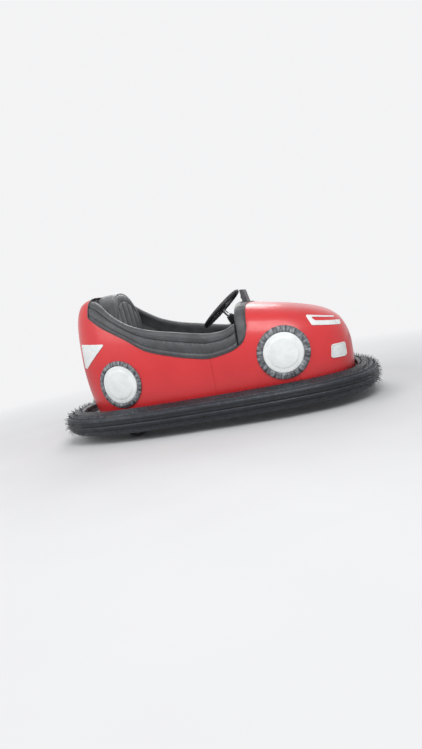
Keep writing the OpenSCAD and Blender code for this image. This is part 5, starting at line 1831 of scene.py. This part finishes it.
def makeCamera():
    level = (Matrix.Rotation(view["turn"], 3, "Z") @ Matrix.Rotation(view["roll"], 3, "Y")
             @ Matrix.Rotation(view["pitch"], 3, "X"))
    toCar = Matrix.Rotation(math.radians(view["tilt"]), 3, "Y")
    right, ahead = (toCar @ (level @ Vector(v)) for v in ((1, 0, 0), (0, 1, 0)))
    data = bpy.data.cameras.new("camera")
    data.sensor_fit = "AUTO"
    data.sensor_width = view["sensor"]
    data.lens = view["focal"] / view["tall"] * view["sensor"]
    camera = inScene("camera", data)
    camera.matrix_world = frameOf(right, -ahead, view["place"])
    bpy.context.scene.camera = camera


stage = {
    # colour behind the car, metres from the car over which the floor turns into it
    "white": (0.9, 0.9, 0.91), "fade": (1.3, 3.6),
    "floor": ((0.7, 0.7, 0.7), (0.67, 0.67, 0.675)), "radius": 14,
    "sky": (0.8, 0.82, 0.86), "skyStrength": 0.55, "aim": (0, 0, 0.3),
    # place, size, power
    "lights": {"keyLight": ((1.2, -3.0, 3.4), 2.2, 105), "fillLight": ((-2.8, -2.4, 2.2), 2.4, 45),
               "backLight": ((-0.6, 3.2, 2.8), 2.4, 60), "lowLight": ((0.3, -0.4, -2.6), 3.2, 30)},
}


def glowing(tree, kind, colour, strength):
    node = addNode(tree, kind, Strength=strength)
    node.inputs["Color"].default_value = (*colour, 1)
    return node


def makeFloor():
    deselect()
    bpy.ops.mesh.primitive_circle_add(vertices=96, radius=stage["radius"], fill_type="NGON",
                                      location=(0, 0, -0.001))
    floor = bpy.context.object
    floor.name = "studioFloor"
    material, tree, shader = newMaterial("paleFloor")
    tree.links.new(patchy(tree, 2, 4, *stage["floor"]), shader.inputs["Base Color"])
    shader.inputs["Roughness"].default_value = 0.8
    far = addNode(tree, "ShaderNodeVectorMath", operation="LENGTH")
    tree.links.new(addNode(tree, "ShaderNodeTexCoord").outputs["Object"], far.inputs[0])
    path = addNode(tree, "ShaderNodeLightPath")
    amount = spread(tree, far.outputs["Value"], 0, 1, *stage["fade"])
    seen = mixedShader(tree, multiply(tree, amount, path.outputs["Is Camera Ray"]), shader,
                       glowing(tree, "ShaderNodeEmission", stage["white"], 1.0))
    # the floor is not there from below, nor for the light from there
    below = addNode(tree, "ShaderNodeNewGeometry").outputs["Backfacing"]
    either = mathOn(tree, "MAXIMUM", below, path.outputs["Is Shadow Ray"])
    whole = mixedShader(tree, either, seen, addNode(tree, "ShaderNodeBsdfTransparent"))
    tree.links.new(whole.outputs[0], tree.nodes["Material Output"].inputs["Surface"])
    floor.data.materials.append(material)


def makeBackdrop():
    world = bpy.data.worlds.new("studio")
    bpy.context.scene.world = world
    world.use_nodes = True
    tree = world.node_tree
    back = tree.nodes["Background"]
    back.inputs["Color"].default_value = (*stage["sky"], 1)
    back.inputs["Strength"].default_value = stage["skyStrength"]
    path = addNode(tree, "ShaderNodeLightPath").outputs
    most = mathOn(tree, "MAXIMUM", path["Is Glossy Ray"], path["Is Transmission Ray"])
    seen = mathOn(tree, "MAXIMUM", path["Is Camera Ray"], most)
    whole = mixedShader(tree, seen, back, glowing(tree, "ShaderNodeBackground", stage["white"], 1.0))
    tree.links.new(whole.outputs[0], tree.nodes["World Output"].inputs["Surface"])


def makeLights():
    for name, (place, size, power) in stage["lights"].items():
        data = bpy.data.lights.new(name, "AREA")
        data.size = size
        data.energy = power
        lamp = inScene(name, data)
        lamp.location = place
        aim = Vector(stage["aim"]) - Vector(place)
        lamp.rotation_euler = aim.to_track_quat("-Z", "Y").to_euler()


makeCamera()
makeFloor()
makeBackdrop()
makeLights()
bpy.context.scene.view_settings.view_transform = "Standard"
